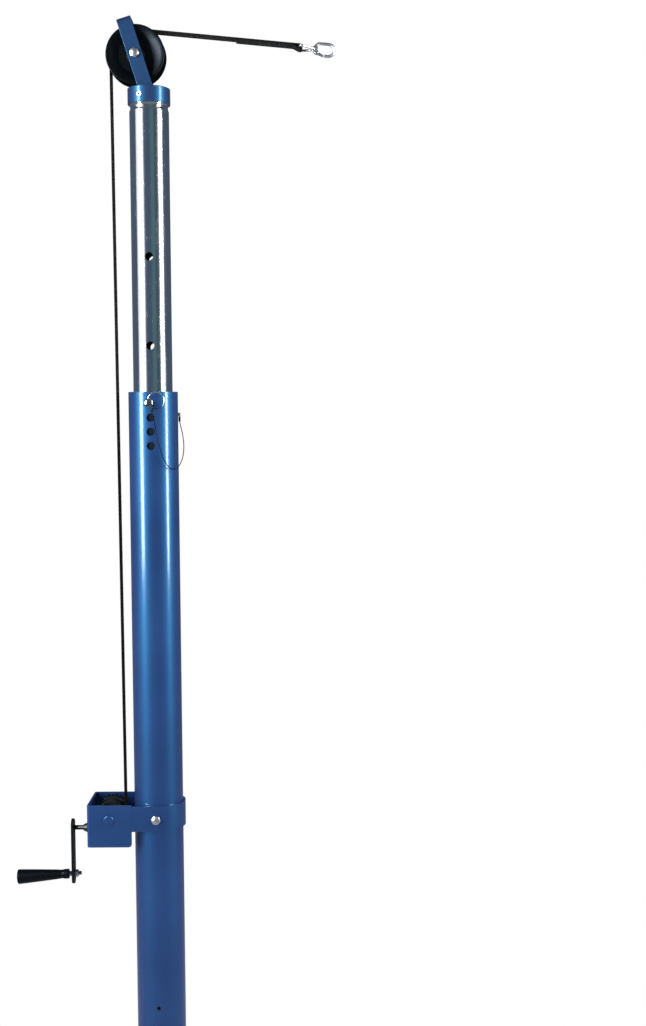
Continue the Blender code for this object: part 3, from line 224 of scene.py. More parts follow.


# %% [markdown]
# ## Paints and platings
# A glossy stoved paint has a faint orange-peel ripple a few millimetres across, and its colour is never
# quite even. Fine metal in it gives its highlights a colour of their own, which is the shader's specular
# tint. Along edges the paint is lighter, partly where it rubs thin and partly as a painted highlight:
# comparing a normal that is rounded over the edge with the true one finds these places. Bright plating is
# nearly a mirror, with long fine wipe marks from sliding. From just below the tube's top the plating is
# painted darker, a painted shade for the inside of the tube. Each finish mixes two or three sizes of noise:
# a large one for unevenness and a small one for relief.


# %% Blue paint
def stoved_paint(name, low, high, gloss):
    """Stoved blue between two shades; gloss is the share of clear coat over it."""
    glint = {"Specular IOR Level": 1.0, "Specular Tint": (0.02, 0.48, 1.0, 1.0)}
    coat = {"Coat Weight": gloss, "Coat Roughness": 0.13}
    paint = Finish(name, "blue_paint", high, 0.45, 0, **glint, **coat)
    broad = paint.noise(paint.place, 9, 3)
    peel = paint.noise(paint.place, 420, 2)
    fine = paint.noise(paint.place, 1900, 2)
    # Lighter edges: partly paint rubbed thin, partly a painted highlight along the edge.
    rubbed_and_highlit = paint.worn_and_highlit(0.0012)
    even = paint.mix(broad.between(0.3, 0.7), grey(low), grey(high))
    paint.set("Base Color", paint.mix(rubbed_and_highlit * 0.35, even, grey((0.11, 0.17, 0.3))))
    paint.set("Roughness", 0.36 + 0.08 * broad + 0.04 * fine + 0.1 * rubbed_and_highlit)
    paint.bump(peel + 0.25 * fine, 0.00004)
    return paint


blue = stoved_paint("blue_enamel", (0.0155, 0.030, 0.118), (0.020, 0.039, 0.146), 0.55)
head_blue = stoved_paint("head_enamel", (0.017, 0.026, 0.078), (0.021, 0.033, 0.098), 0.3)


# %% Bright plating
TUBE_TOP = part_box("outer_tube")[1][2]
SHADE_STARTS, SHADE_FULL = 0.012, 0.022  # below the tube's top


def bright_plating():
    """Bright above the tube; darker from just below its top, a painted shade for the inside of the tube."""
    plating = Finish("bright_plating", "chrome_plate", (0.78, 0.81, 0.85), 0.09, 1)
    wiped = plating.noise(plating.stretched(plating.place, (1, 1, 0.02)), 900, 3)
    cloudy = plating.noise(plating.place, 22, 3)
    streaks = plating.noise(plating.stretched(plating.place, (1, 1, 0.035)), 260, 3, 0.6).between(0.5, 0.72)
    scuffs = plating.noise(plating.stretched(plating.place, (1, 1, 0.3)), 420, 4, 0.65).between(0.6, 0.7)
    plating.set("Roughness", 0.04 + 0.05 * wiped + 0.05 * cloudy + 0.10 * streaks + 0.16 * scuffs)
    tone = plating.mix(cloudy, grey((0.73, 0.76, 0.80)), grey((0.83, 0.85, 0.88)))
    bright = plating.mix(0.25 * streaks + 0.3 * scuffs, tone, grey((0.5, 0.54, 0.6)))
    height = plating.part(plating.place, "Z")
    # Painted shade: darker from just below the tube's top, where the tube hides the mast.
    tube_shade = height.between(TUBE_TOP - SHADE_STARTS, TUBE_TOP - SHADE_FULL)
    plating.set("Base Color", plating.mix(tube_shade, bright, grey((0.19, 0.22, 0.27))))
    plating.bump(wiped + 0.5 * scuffs, 0.00001)
    return plating


chrome = bright_plating()


# %% Zinc plating on the fasteners
def zinc_plating():
    zinc = Finish("zinc_plating", "zinc_steel", (0.6, 0.61, 0.62), 0.3, 1)
    patches = zinc.noise(zinc.place, 260, 3)
    grain = zinc.noise(zinc.place, 2400, 2)
    rubbed_and_highlit = zinc.worn_and_highlit(0.0006, 900)
    plated = zinc.mix(patches, grey((0.46, 0.47, 0.49)), grey((0.66, 0.67, 0.69)))
    zinc.set("Base Color", zinc.mix(rubbed_and_highlit * 0.6, plated, grey((0.86, 0.87, 0.88))))
    zinc.set("Roughness", 0.25 + 0.13 * patches + 0.06 * grain)
    zinc.bump(grain, 0.000015)
    return zinc


zinc = zinc_plating()


# %% Bare metals
def bare_metal(name, slot, colour, roughness, cloud, shades, gloss, grain=None):
    """Metal whose colour and gloss follow one slow noise; where it has a grain, that gives its relief."""
    metal = Finish(name, slot, colour, roughness, 1)
    dull = metal.noise(metal.place, *cloud)
    metal.set("Base Color", metal.mix(dull, grey(shades[0]), grey(shades[1])))
    rough = gloss[0] + gloss[1] * dull
    if grain:
        scale, detail, share, depth = grain
        fine = metal.noise(metal.place, scale, detail)
        rough = rough + share * fine if share else rough
        metal.bump(fine, depth)
    metal.set("Roughness", rough)
    return metal


cast = bare_metal(
    "cast_zinc", "cast_zinc", (0.58, 0.58, 0.59), 0.36, (120, 2),
    ((0.46, 0.46, 0.47), (0.68, 0.68, 0.69)), (0.24, 0.2), (1500, 3, 0.06, 0.00004),
)
oiled = bare_metal(
    "oiled_steel", "oiled_steel", (0.05, 0.052, 0.056), 0.4, (90, 3),
    ((0.025, 0.027, 0.03), (0.085, 0.088, 0.095)), (0.28, 0.25), (1800, 2, 0, 0.00002),
)
rope = bare_metal(
    "rope_steel", "lanyard_cable", (0.04, 0.045, 0.05), 0.38, (700, 3),
    ((0.004, 0.005, 0.007), (0.025, 0.028, 0.034)), (0.3, 0.25),
)
bronze = bare_metal(
    "bearing_bronze", "bronze", (0.55, 0.36, 0.16), 0.34, (200, 3),
    ((0.42, 0.26, 0.10), (0.66, 0.45, 0.22)), (0.24, 0.24), (2600, 2, 0, 0.00002),
)


def greased_bronze():
    """The wheel's bronze under dark old grease, which is scraped off the tips of its teeth."""
    greased = Finish("greased_bronze", "bronze", (0.09, 0.065, 0.035), 0.4, 1)
    smear = greased.noise(greased.place, 160, 4)
    rubbed_and_highlit = greased.worn_and_highlit(0.0008, 500)
    thick = greased.mix(smear.between(0.35, 0.65), grey((0.012, 0.01, 0.008)), grey((0.05, 0.036, 0.02)))
    greased.set("Base Color", greased.mix(rubbed_and_highlit * 0.12, thick, grey((0.2, 0.13, 0.06))))
    greased.set("Roughness", 0.28 + 0.25 * smear)
    greased.bump(smear, 0.0001)
    return greased


greased = greased_bronze()


# %% [markdown]
# ## Plastics, nylon and rubber
# Moulded black plastic has a fine even grain and a soft sheen. The black paint on the arm is smoother.
# Nylon is milky and a little uneven; the foot's rubber is dull with a fine pitted skin.


# %% Plastics
def plain_skin(name, slot, colour, roughness, grain, spread=0.25, shine=0.5, tint=(1, 1, 1)):
    """Plastic, paint, rubber or thread; grain is the scale and the depth of its relief."""
    shown = {"Specular IOR Level": shine, "Specular Tint": grey(tint)}
    skin = Finish(name, slot, colour, roughness, 0, **shown)
    broad = skin.noise(skin.place, 60, 3)
    fine = skin.noise(skin.place, grain[0], 2)
    low = grey([c * (1 - spread) for c in colour])
    high = grey([c * (1 + spread) for c in colour])
    skin.set("Base Color", skin.mix(broad, low, high))
    skin.set("Roughness", (roughness - 0.06) + 0.08 * broad + 0.04 * fine)
    skin.bump(fine, grain[1])
    return skin


moulded = plain_skin(
    "moulded_plastic", "black_plastic", (0.002, 0.0028, 0.0034), 0.36, (2200, 0.00003),
    shine=0.15, tint=(0.62, 0.8, 1),
)
arm_paint = plain_skin(
    "arm_paint", "black_paint", (0.004, 0.0055, 0.007), 0.45, (700, 0.00003),
    shine=0.15, tint=(0.7, 0.85, 1),
)
nylon = plain_skin("milky_nylon", "white_nylon", (0.74, 0.73, 0.68), 0.42, (900, 0.00002), 0.05)
rubber = plain_skin("foot_rubber", "black_rubber", (0.02, 0.02, 0.02), 0.75, (1200, 0.00008))


# %% [markdown]
# ## Webbing
# A woven strap shows short slanted floats in columns, each column half a step off its neighbour. The
# pattern follows the strap round its bends, so it reads the strap's own map, which is kept in metres: the
# first coordinate runs along the strap and the second across it.


# %% Webbing
COLUMN_WIDTH = 0.0013
FLOAT_LENGTH = 0.0017


def woven():
    soft = {"Sheen Weight": 0.02, "Sheen Roughness": 0.4, "Specular IOR Level": 0.12}
    cloth = Finish("black_webbing", "black_webbing", (0.008, 0.009, 0.01), 0.7, 0, **soft)
    where = cloth.node("TexCoord", output="UV")
    along = cloth.part(where, "X") / FLOAT_LENGTH
    across = cloth.part(where, "Y") / COLUMN_WIDTH
    float_along = (along + across.floor() * 0.5) * (2 * math.pi)
    slant = (across * (2 * math.pi)).sine() * 0.9
    thread = (float_along + slant).sine() * 0.5 + 0.5
    yarn = (across * math.pi).sine().size()
    fuzz = cloth.noise(where, 5200, 2)
    height = thread * 0.55 * yarn + yarn * 0.3 + fuzz * 0.15
    cloth.set("Base Color", cloth.mix(height, grey((0.0015, 0.0018, 0.0022)), grey((0.008, 0.0088, 0.01))))
    cloth.set("Roughness", 0.75 + 0.2 * fuzz)
    cloth.bump(height, 0.0004, 0.9)
    return cloth


webbing = woven()
thread = plain_skin(
    "sewing_thread", "black_webbing", (0.014, 0.015, 0.017), 0.6, (3000, 0.00005), shine=0.3
)
print("finishes:", len(bpy.data.materials))

# %% [markdown]
# ## Shaping tools
# Most of the post is turned, folded or punched, so a handful of helpers goes a long way. Each starts from
# a few vertices or a ready shape and leaves the work to bmesh operators: spin for turned parts, extrude
# and bevel for folded sheet, and exact booleans for drilled holes.


# %% Helpers
def closed(shape):
    bmesh.ops.remove_doubles(shape, verts=shape.verts, dist=0.000002)
    bmesh.ops.recalc_face_normals(shape, faces=shape.faces)
    return shape


def moved(shape, matrix):
    bmesh.ops.transform(shape, matrix=matrix, verts=shape.verts)
    return shape


def of_kind(geom, kind):
    return [item for item in geom if isinstance(item, kind)]


def seat(at=(0, 0, 0), along=(0, 0, 1), spin=0.0):
    """Stands a shape's own Z along a direction, at a point."""
    turn = Vector((0, 0, 1)).rotation_difference(Vector(along)).to_matrix().to_4x4()
    return Matrix.Translation(at) @ turn @ Matrix.Rotation(spin, 4, "Z")


def lathe(profile, steps=96):
    """Spins (radius, height) points round Z: a solid where they end on the axis, else a ring."""
    shape = bmesh.new()
    points = [shape.verts.new((radius, 0, height)) for radius, height in profile]
    edges = [shape.edges.new(pair) for pair in zip(points, points[1:])]
    if profile[0][0] > 0:
        edges.append(shape.edges.new((points[-1], points[0])))
    bmesh.ops.spin(
        shape, geom=points + edges, cent=(0, 0, 0), axis=(0, 0, 1), angle=2 * math.pi, steps=steps,
        use_merge=True,
    )
    return closed(shape)


def cylinder(radius, low, high, sides=48):
    shape = bmesh.new()
    middle = Matrix.Translation((0, 0, (low + high) / 2))
    bmesh.ops.create_cone(
        shape, cap_ends=True, segments=sides, radius1=radius, radius2=radius, depth=high - low, matrix=middle
    )
    return shape


def box(low, high):
    shape = bmesh.new()
    size = Vector(high) - Vector(low)
    matrix = Matrix.Translation((Vector(high) + Vector(low)) / 2) @ Matrix.Diagonal((*size, 1))
    bmesh.ops.create_cube(shape, size=1, matrix=matrix)
    return shape


def bevelled(shape, geom, width, segments, affect="EDGES", clamp=False):
    bmesh.ops.bevel(
        shape, geom=geom, offset=width, offset_type="OFFSET", segments=segments, profile=0.5,
        affect=affect, clamp_overlap=clamp, material=-1,
    )
    return shape


def soften(shape, width, segments=3, above=30):
    """Rounds every edge that is sharper than an angle."""
    least = math.radians(above)
    edges = [e for e in shape.edges if len(e.link_faces) == 2 and e.calc_face_angle() > least]
    return bevelled(shape, edges, width, segments, clamp=True)


def turned(profile, steps, width, segments=3, above=30, where=None):
    """A part off the lathe with its sharp edges broken, put in its place."""
    shape = soften(lathe(profile, steps), width, segments, above)
    return shape if where is None else moved(shape, where)


def mirrored(flank):
    """A whole profile from its upper half."""
    return flank + [(radius, -height) for radius, height in reversed(flank)]


def as_object(name, shape):
    mesh = bpy.data.meshes.new(name)
    shape.to_mesh(mesh)
    shape.free()
    thing = bpy.data.objects.new(name, mesh)
    scene.collection.objects.link(thing)
    return thing


def worked(shape, kind, **settings):
    """The shape after one modifier, as a bmesh again."""
    thing = as_object("work", shape)
    change = thing.modifiers.new("work", kind)
    for name, value in settings.items():
        setattr(change, name, value)
    result = bmesh.new()
    result.from_object(thing, bpy.context.evaluated_depsgraph_get())
    bpy.data.meshes.remove(thing.data)
    return result


def carved(shape, *tools, operation="DIFFERENCE"):
    """Cuts a shape with others, or joins them to it, by exact booleans."""
    for tool in tools:
        cutter = as_object("tool", tool)
        shape = worked(shape, "BOOLEAN", operation=operation, solver="EXACT", object=cutter)
        bpy.data.meshes.remove(cutter.data)
    return closed(shape)


def walled(shape, thickness):
    """Gives an open sheet its wall, half on each side."""
    return worked(shape, "SOLIDIFY", thickness=thickness, offset=0, use_even_offset=True)


def panel(corners, radii, thickness=None):
    """A flat outline in XY with rounded corners, pulled up by a thickness where one is given."""
    shape = bmesh.new()
    shape.faces.new([shape.verts.new((x, y, 0)) for x, y in corners])
    for spot, radius in zip(corners, radii):
        if radius:
            corner = min(shape.verts, key=lambda v: (v.co - Vector((*spot, 0))).length)
            bevelled(shape, [corner], radius, 10, "VERTICES")
    if thickness:
        pulled = bmesh.ops.extrude_face_region(shape, geom=list(shape.faces))["geom"]
        bmesh.ops.translate(shape, vec=(0, 0, thickness), verts=of_kind(pulled, bmesh.types.BMVert))
        bmesh.ops.recalc_face_normals(shape, faces=shape.faces)
    return shape


def pull(shape, edges, move):
    """Draws a sheet out of edges along a move, and gives its new edges."""
    pulled = bmesh.ops.extrude_edge_only(shape, edges=edges)["geom"]
    bmesh.ops.translate(shape, vec=move, verts=of_kind(pulled, bmesh.types.BMVert))
    return of_kind(pulled, bmesh.types.BMEdge)


def folded(start, moves, radius, segments=10):
    """Sheet from one edge: pulled along each move in turn, with round bends between them."""
    shape = bmesh.new()
    edge = [shape.edges.new([shape.verts.new(spot) for spot in start])]
    folds = []
    for n, move in enumerate(moves):
        edge = pull(shape, edge, move)
        folds += edge if n < len(moves) - 1 else []
    return bevelled(shape, folds, radius, segments)


def swept(route, radius, sides=16, ring=False, lobes=0, lay=0.0):
    """A round bar along a route of points; with lobes it is a rope of as many strands, one turn per lay."""
    spots = [Vector(spot) for spot in route]
    count = len(spots)
    shape = bmesh.new()
    made = bmesh.ops.create_circle(shape, cap_ends=False, segments=sides, radius=radius)
    for vert in made["verts"]:
        if lobes:
            vert.co *= 0.87 + 0.13 * abs(math.cos(math.atan2(vert.co.y, vert.co.x) * lobes / 2))

    def heading(n):
        before = spots[(n - 1) % count] if ring or n > 0 else spots[0]
        after = spots[(n + 1) % count] if ring or n < count - 1 else spots[-1]
        return (after - before).normalized()

    turn = Vector((0, 0, 1)).rotation_difference(heading(0))
    moved(shape, Matrix.Translation(spots[0]) @ turn.to_matrix().to_4x4())
    first = list(shape.edges)
    edges = first
    for n in range(1, count):
        pulled = bmesh.ops.extrude_edge_only(shape, edges=edges)["geom"]
        edges = of_kind(pulled, bmesh.types.BMEdge)
        step = spots[n] - spots[n - 1]
        bend = heading(n - 1).rotation_difference(heading(n)).to_matrix().to_4x4()
        twist = Matrix.Rotation(2 * math.pi * step.length / lay if lay else 0, 4, heading(n))
        matrix = Matrix.Translation(spots[n]) @ twist @ bend @ Matrix.Translation(-spots[n - 1])
        bmesh.ops.transform(shape, matrix=matrix, verts=of_kind(pulled, bmesh.types.BMVert))
    if ring:
        bmesh.ops.bridge_loops(shape, edges=first + edges)
    else:
        bmesh.ops.holes_fill(shape, edges=first + edges, sides=0)
    bmesh.ops.recalc_face_normals(shape, faces=shape.faces)
    return shape


def arc(centre, radius, start, end, steps):
    """Points on an arc in the XZ plane, angles in degrees from +X towards +Z."""
    spots = []
    for n in range(steps + 1):
        angle = math.radians(start + (end - start) * n / steps)
        spots.append(Vector((centre[0] + radius * math.cos(angle), 0, centre[1] + radius * math.sin(angle))))
    return spots


def piece(name, shape, look, nodes, smooth=40, flat=True):
    """The finished object in place of its CAD nodes, moving with their body."""
    nodes = [nodes] if isinstance(nodes, str) else nodes
    thing = as_object(name, shape)
    thing.data.shade_smooth()
    thing.data.set_sharp_from_angle(angle=math.radians(smooth))
    thing.data.materials.append(look.material)
    if flat:
        thing.modifiers.new("Flat faces", "WEIGHTED_NORMAL").keep_sharp = True
    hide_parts(*nodes)
    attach(thing, BODY_OF[nodes[0]])
    print(name, "faces:", len(thing.data.polygons))
    return thing


def round_normals(thing, radii):
    """Makes a drilled tube shine as if it had no facets: its round faces get exactly radial normals."""
    mesh = thing.data
    normals = [Vector(corner.vector) for corner in mesh.corner_normals]
    for face in mesh.polygons:
        spots = [mesh.vertices[v].co for v in face.vertices]
        for radius, sign in radii:
            if all(abs(math.hypot(spot.x, spot.y) - radius) < 0.00002 for spot in spots):
                for loop in face.loop_indices:
                    spot = mesh.vertices[mesh.loops[loop].vertex_index].co
                    normals[loop] = sign * Vector((spot.x, spot.y, 0)).normalized()
    mesh.normals_split_custom_set(normals)


# %% [markdown]
# ## Sizes from the frame
# A finer mesh has to land exactly on the CAD part it stands for, so its sizes are read from the boxes of
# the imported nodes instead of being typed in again.

# %% Sizes
GAP = 0.0003  # left between pieces that touch
TUBE_WALL = 0.0032
MAST_WALL = 0.003
PIN_BELOW_TOP = 0.018
tube_low, tube_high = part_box("outer_tube")
TUBE = tube_high.x
TUBE_BORE = TUBE - TUBE_WALL
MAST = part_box("mast_tube")[1].x
MAST_BORE = MAST - MAST_WALL
PIN_Z = TUBE_TOP - PIN_BELOW_TOP
PIN_HOLE = 0.00635
AXLE_LOW, AXLE_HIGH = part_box("pulley")
AXLE = (AXLE_LOW + AXLE_HIGH) / 2
DRUM = Vector((sum(c.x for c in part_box("winch_drum")) / 2, 0, sum(c.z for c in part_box("winch_drum")) / 2))
SHAFT = Vector((0, sum(c.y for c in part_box("crank_arm")) / 2, sum(c.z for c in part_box("shaft_bush")) / 2))
print("tube", TUBE, "mast", round(MAST, 5), "axle", tuple(round(c, 4) for c in AXLE))

# %% [markdown]
# ## The strap's run over the pulley
# Webbing is made flat and then bent, so the model does the same: a thin bar is cut across many times, its
# flat places are kept as the pattern's map, and then each vertex is carried to the bent route. The run
# goes up the pulley's left side, over it and out to the hook's eye bar, round the bar and back under
# itself, where two rows and a cross of stitches hold it.

# %% Strap route
STRAP_WIDTH = 0.0254
STRAP = 0.0016
LEAD_RADIUS = 0.0386
SLOPE = math.radians(5.6)
LEAD_LENGTH = 0.2475
SEWN_LENGTH = 0.098
SEAM_START = 0.012
LAYER_GAP = 0.0005
ROLL_RADIUS = 0.0205
EYE_WIRE = 0.0019
SEWN_LOOP = EYE_WIRE + GAP + STRAP / 2
run = Vector((math.cos(SLOPE), 0, -math.sin(SLOPE)))
lift = Vector((math.sin(SLOPE), 0, math.cos(SLOPE)))
TANGENT = AXLE + lift * LEAD_RADIUS
EYE = TANGENT + run * LEAD_LENGTH - lift * SEWN_LOOP
HOOK = Matrix.Translation(EYE) @ Matrix.Rotation(SLOPE, 4, "Y")
print("hook's eye bar at", tuple(round(c, 4) for c in EYE))


def lead_route():
    over = arc((AXLE.x, AXLE.z), LEAD_RADIUS, 180, 90 - math.degrees(SLOPE), 60)
    straight = [TANGENT + run * (LEAD_LENGTH * n / 60) for n in range(1, 61)]
    loop = []
    back = Vector((-SEAM_START, 0, SEWN_LOOP - STRAP - LAYER_GAP))
    leave = math.atan2(back.z, back.x) + math.acos(SEWN_LOOP / back.length) - 2 * math.pi
    for n in range(1, 31):
        angle = math.pi / 2 + (leave - math.pi / 2) * n / 30
        loop.append(HOOK @ (SEWN_LOOP * Vector((math.cos(angle), 0, math.sin(angle)))))
    loop_end = HOOK.inverted() @ loop[-1]
    for n in range(1, 9):
        t = n / 8
        eased = t * t * (3 - 2 * t)
        x = loop_end.x + (back.x - loop_end.x) * t
        loop.append(HOOK @ Vector((x, 0, loop_end.z + (back.z - loop_end.z) * eased)))
    tail = [HOOK @ Vector((back.x + (-SEWN_LENGTH - back.x) * n / 40, 0, back.z)) for n in range(1, 41)]
    return over, straight, loop + tail


def strap(route, cuts_every=0.0016):
    """Webbing along a route in the XZ plane, its width along Y."""
    distance = [0.0]
    for a, b in zip(route, route[1:]):
        distance.append(distance[-1] + (b - a).length)
    total = distance[-1]
    shape = box((0, -STRAP_WIDTH / 2, -STRAP / 2), (total, STRAP_WIDTH / 2, STRAP / 2))

    def lengthwise():
        return [e for e in shape.edges if abs(e.verts[0].co.x - e.verts[1].co.x) > total / 2]

    bevelled(shape, lengthwise(), STRAP * 0.42, 3)
    bmesh.ops.subdivide_edges(
        shape, edges=lengthwise(), cuts=round(total / cuts_every), use_grid_fill=True
    )
    weave = shape.loops.layers.uv.new("weave")
    for face in shape.faces:
        for loop in face.loops:
            loop[weave].uv = loop.vert.co.xy
    index = 0
    for vert in sorted(shape.verts, key=lambda v: v.co.x):
        along = min(max(vert.co.x, 0), total)
        while index < len(route) - 2 and distance[index + 1] < along:
            index += 1
        share = (along - distance[index]) / (distance[index + 1] - distance[index])
        a, b = route[index], route[index + 1]
        before = route[max(index - 1, 0)]
        after = route[min(index + 2, len(route) - 1)]
        heading = ((b - before).normalized().lerp((after - a).normalized(), share)).normalized()
        out = Vector((-heading.z, 0, heading.x))
        vert.co = a.lerp(b, share) + out * vert.co.z + Vector((0, vert.co.y, 0))
    return shape


# %% Strap over the pulley
over, straight, loop = lead_route()
lead_path = over + straight
lead = piece("webbing_lead", strap(lead_path + loop), webbing, "strap_lead", flat=False)
lead_length = sum((b - a).length for a, b in zip(lead_path, lead_path[1:]))
print("lead", round(lead_length, 4), "m")

# %% Strap from the winch to the pulley
rise_x = AXLE.x - LEAD_RADIUS
box_low, box_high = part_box("strap_rise")
bottom_x = DRUM.x + ROLL_RADIUS + GAP + STRAP / 2
rise_route = [
    Vector((bottom_x + (rise_x - bottom_x) * n / 40, 0, DRUM.z + (box_high.z - DRUM.z) * n / 40))
    for n in range(41)
]
rise = piece("webbing_rise", strap(rise_route, 0.02), webbing, "strap_rise", flat=False)
rise.visible_glossy = False  # so near the mast, its black stripe would fill the plating's left edge
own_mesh(rise)

# %% [markdown]
# ## The winch's roll of strap
# On the drum the outer turns are one unbroken spiral, half a millimetre apart.


# %% Strap roll
def roll_route():
    pitch = STRAP + LAYER_GAP
    outer = ROLL_RADIUS - STRAP / 2
    spots = []
    for n in range(145):
        t = n / 144
        radius = outer - pitch * 2 * (1 - t)
        angle = 4 * math.pi * t
        spots.append(DRUM + Vector((radius * math.cos(angle), 0, radius * math.sin(angle))))
    return spots


piece("webbing_roll", strap(roll_route()), webbing, "strap_roll", flat=False)

# %% [markdown]
# ## Stitches
# The doubled end of the strap is sewn with thick thread: a long box with a cross in it. A stitch is a short
# bead that sinks into the cloth at both ends, so one small sphere is stretched and copied along each line.


# %% Stitching
def stitches(lines, height):
    """Beads along lines of (along, across) points on the hook's frame, on one face of the strap."""
    shape = bmesh.new()
    for (x0, y0), (x1, y1) in lines:
        line = Vector((x1 - x0, y1 - y0, 0))
        count = max(1, round(line.length / 0.0032))
        turn = Vector((1, 0, 0)).rotation_difference(line).to_matrix().to_4x4()
        for n in range(count):
            spot = Vector((x0, y0, height)) + line * ((n + 0.5) / count)
            stretch = Matrix.Diagonal((0.00125, 0.00036, 0.00030, 1))
            matrix = HOOK @ Matrix.Translation(spot) @ turn @ stretch
            bmesh.ops.create_uvsphere(shape, u_segments=6, v_segments=5, radius=1, matrix=matrix)
    return shape


near, far, half = -0.016, -SEWN_LENGTH + 0.004, STRAP_WIDTH / 2 - 0.0035
corners = [(near, -half), (far, -half), (far, half), (near, half)]
sewn = [(corners[n], corners[(n + 1) % 4]) for n in range(4)]
sewn += [((near, -half), (far, half)), ((near, half), (far, -half))]
stitching = as_object("strap_stitching", stitches(sewn, SEWN_LOOP + STRAP / 2))
lower_seam = as_object("strap_stitching_under", stitches(sewn, SEWN_LOOP - STRAP * 1.5 - LAYER_GAP))
for seam in (stitching, lower_seam):
    seam.data.materials.append(thread.material)
    seam.data.shade_smooth()
    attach(seam, "mast")
print("stitches:", len(stitching.data.polygons) // 30)

# %% [markdown]
# ## The snap hook
# The hook is one casting: a wide eye for the strap, a shank and a bent nose. Castings have no sharp inner
# corners. Joining plain bars and remeshing the whole in small even faces, then smoothing them a little,
# gives the same soft fillets; the slot for the gate and its pin hole are machined afterwards, so they stay
# crisp.

# %% Hook
EYE_HALF = STRAP_WIDTH / 2 + 0.0063
EYE_END = 0.0205
HOOK_LENGTH = 0.0325
HOOK_HIGH = 0.0090
GATE = Vector((EYE_END + 0.0055, 0, -0.0052))
GATE_WIDTH = 0.0038
CHEEKS = GATE_WIDTH + 0.0006 + 0.0032


def rounded(corners, radii, steps=8, ring=False):
    """A route through corners, each rounded to its radius."""
    spots = [Vector(corner) for corner in corners]
    count = len(spots)
    route = []
    for n, spot in enumerate(spots):
        if not radii[n]:
            route.append(spot)
            continue
        back = (spots[n - 1] - spot).normalized()
        ahead = (spots[(n + 1) % count] - spot).normalized()
        half = back.angle(ahead) / 2
        centre = spot + (back + ahead).normalized() * (radii[n] / math.sin(half))
        first = spot + back * (radii[n] / math.tan(half)) - centre
        last = spot + ahead * (radii[n] / math.tan(half)) - centre
        first, last = first.normalized(), last.normalized()
        route += [centre + radii[n] * first.slerp(last, step / steps) for step in range(steps + 1)]
    return route


def hook_casting():
    corners = [(0, -EYE_HALF, 0), (EYE_END, -0.0045, 0), (EYE_END, 0.0045, 0), (0, EYE_HALF, 0)]
    eye = swept(rounded(corners, [0.0035, 0.003, 0.003, 0.0035], 8, True), EYE_WIRE, 20, ring=True)
    start = EYE_END - 0.001
    end = EYE_END + HOOK_LENGTH
    corners = [
        (start, 0, 0),
        (start + 0.008, 0, HOOK_HIGH),
        (end - 0.002, 0, HOOK_HIGH),
        (end, 0, -HOOK_HIGH),
        (end - 0.0155, 0, -HOOK_HIGH),
    ]
    nose = swept(rounded(corners, [0, 0.006, 0.0085, 0.0085, 0], 12), 0.0023, 24)
    outline = [
        (start - 0.001, -0.0030),
        (start - 0.001, 0.0030),
        (start + 0.0060, 0.0068),
        (GATE.x + 0.0022, 0.0040),
        (GATE.x + 0.0030, GATE.z - 0.0014),
        (GATE.x - 0.0010, GATE.z - 0.0032),
        (start + 0.0005, -0.0045),
    ]
    cheeks = panel(outline, [0] * len(outline), CHEEKS)
    upright = Matrix.Translation((0, CHEEKS / 2, 0)) @ Matrix.Rotation(math.pi / 2, 4, "X")
    soften(moved(cheeks, upright), 0.0011, 3)
    shape = carved(eye, nose, cheeks, operation="UNION")
    shape = worked(shape, "REMESH", mode="VOXEL", voxel_size=0.00045)
    for _ in range(3):
        bmesh.ops.smooth_vert(
            shape, verts=shape.verts, factor=0.5, use_axis_x=True, use_axis_y=True, use_axis_z=True
        )
    slot = Vector((0.0040, GATE_WIDTH / 2 + 0.0003, 0.00525))
    middle = Vector((GATE.x + 0.0008, 0, GATE.z - 0.0002))
    hole = moved(cylinder(0.0012, -0.02, 0.02, 24), seat(GATE, (0, 1, 0)))
    return moved(carved(shape, box(middle - slot, middle + slot), hole), HOOK)


hook = piece("cast_hook", hook_casting(), cast, "snap_hook", smooth=50, flat=False)


def gate_lever():
    """A tapered lever with round ends, from the pin to the nose's tip."""
    root, tip_radius = 0.0024, 0.0013
    nose = EYE_END + HOOK_LENGTH - 0.0155
    reach = Vector((nose - 0.0008 - tip_radius - GATE.x, 0, -HOOK_HIGH - GATE.z))
    shape = bmesh.new()
    for centre, radius in ((Vector(), root), (reach, tip_radius)):
        bmesh.ops.create_cone(
            shape, cap_ends=True, segments=32, radius1=radius, radius2=radius, depth=GATE_WIDTH,
            matrix=seat(centre, (0, 1, 0)),
        )
    hull = bmesh.ops.convex_hull(shape, input=shape.verts)
    spare = of_kind(hull["geom_interior"] + hull["geom_unused"], bmesh.types.BMVert)
    bmesh.ops.delete(shape, geom=spare, context="VERTS")
    bmesh.ops.dissolve_limit(shape, angle_limit=0.02, verts=shape.verts, edges=shape.edges)
    shape = carved(shape, moved(cylinder(0.0012, -0.01, 0.01, 24), seat((0, 0, 0), (0, 1, 0))))
    soften(shape, 0.0003, 2, 50)
    return moved(shape, HOOK @ Matrix.Translation(GATE))


gate = piece("hook_lever", gate_lever(), zinc, "hook_gate")
rivet = cylinder(0.0009, -CHEEKS / 2, CHEEKS / 2, 24)
rivet = soften(moved(rivet, HOOK @ seat(GATE, (0, 1, 0))), 0.0002)
gate_rivet = piece("gate_rivet", rivet, zinc, "gate_pin")

# %% [markdown]
# ## The lock pin and its cable
# The pin's ring hangs from a hole in its head, and a thin steel cable with a crimped eye at each end keeps
# the pin on the post. The cable is a rope of six strands round a core, so its section has six lobes that
# turn as they go. Its route curves with slack between the post and the pin, because the pin slides in its
# hole.

# %% Lock pin
HEAD = Vector((0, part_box("lock_pin")[0].y + 0.0055, PIN_Z))
RING_TURN = math.radians(20)
OUT = Vector((math.cos(RING_TURN), 0, math.sin(RING_TURN)))
DOWN = Vector((math.sin(RING_TURN), 0, -math.cos(RING_TURN)))


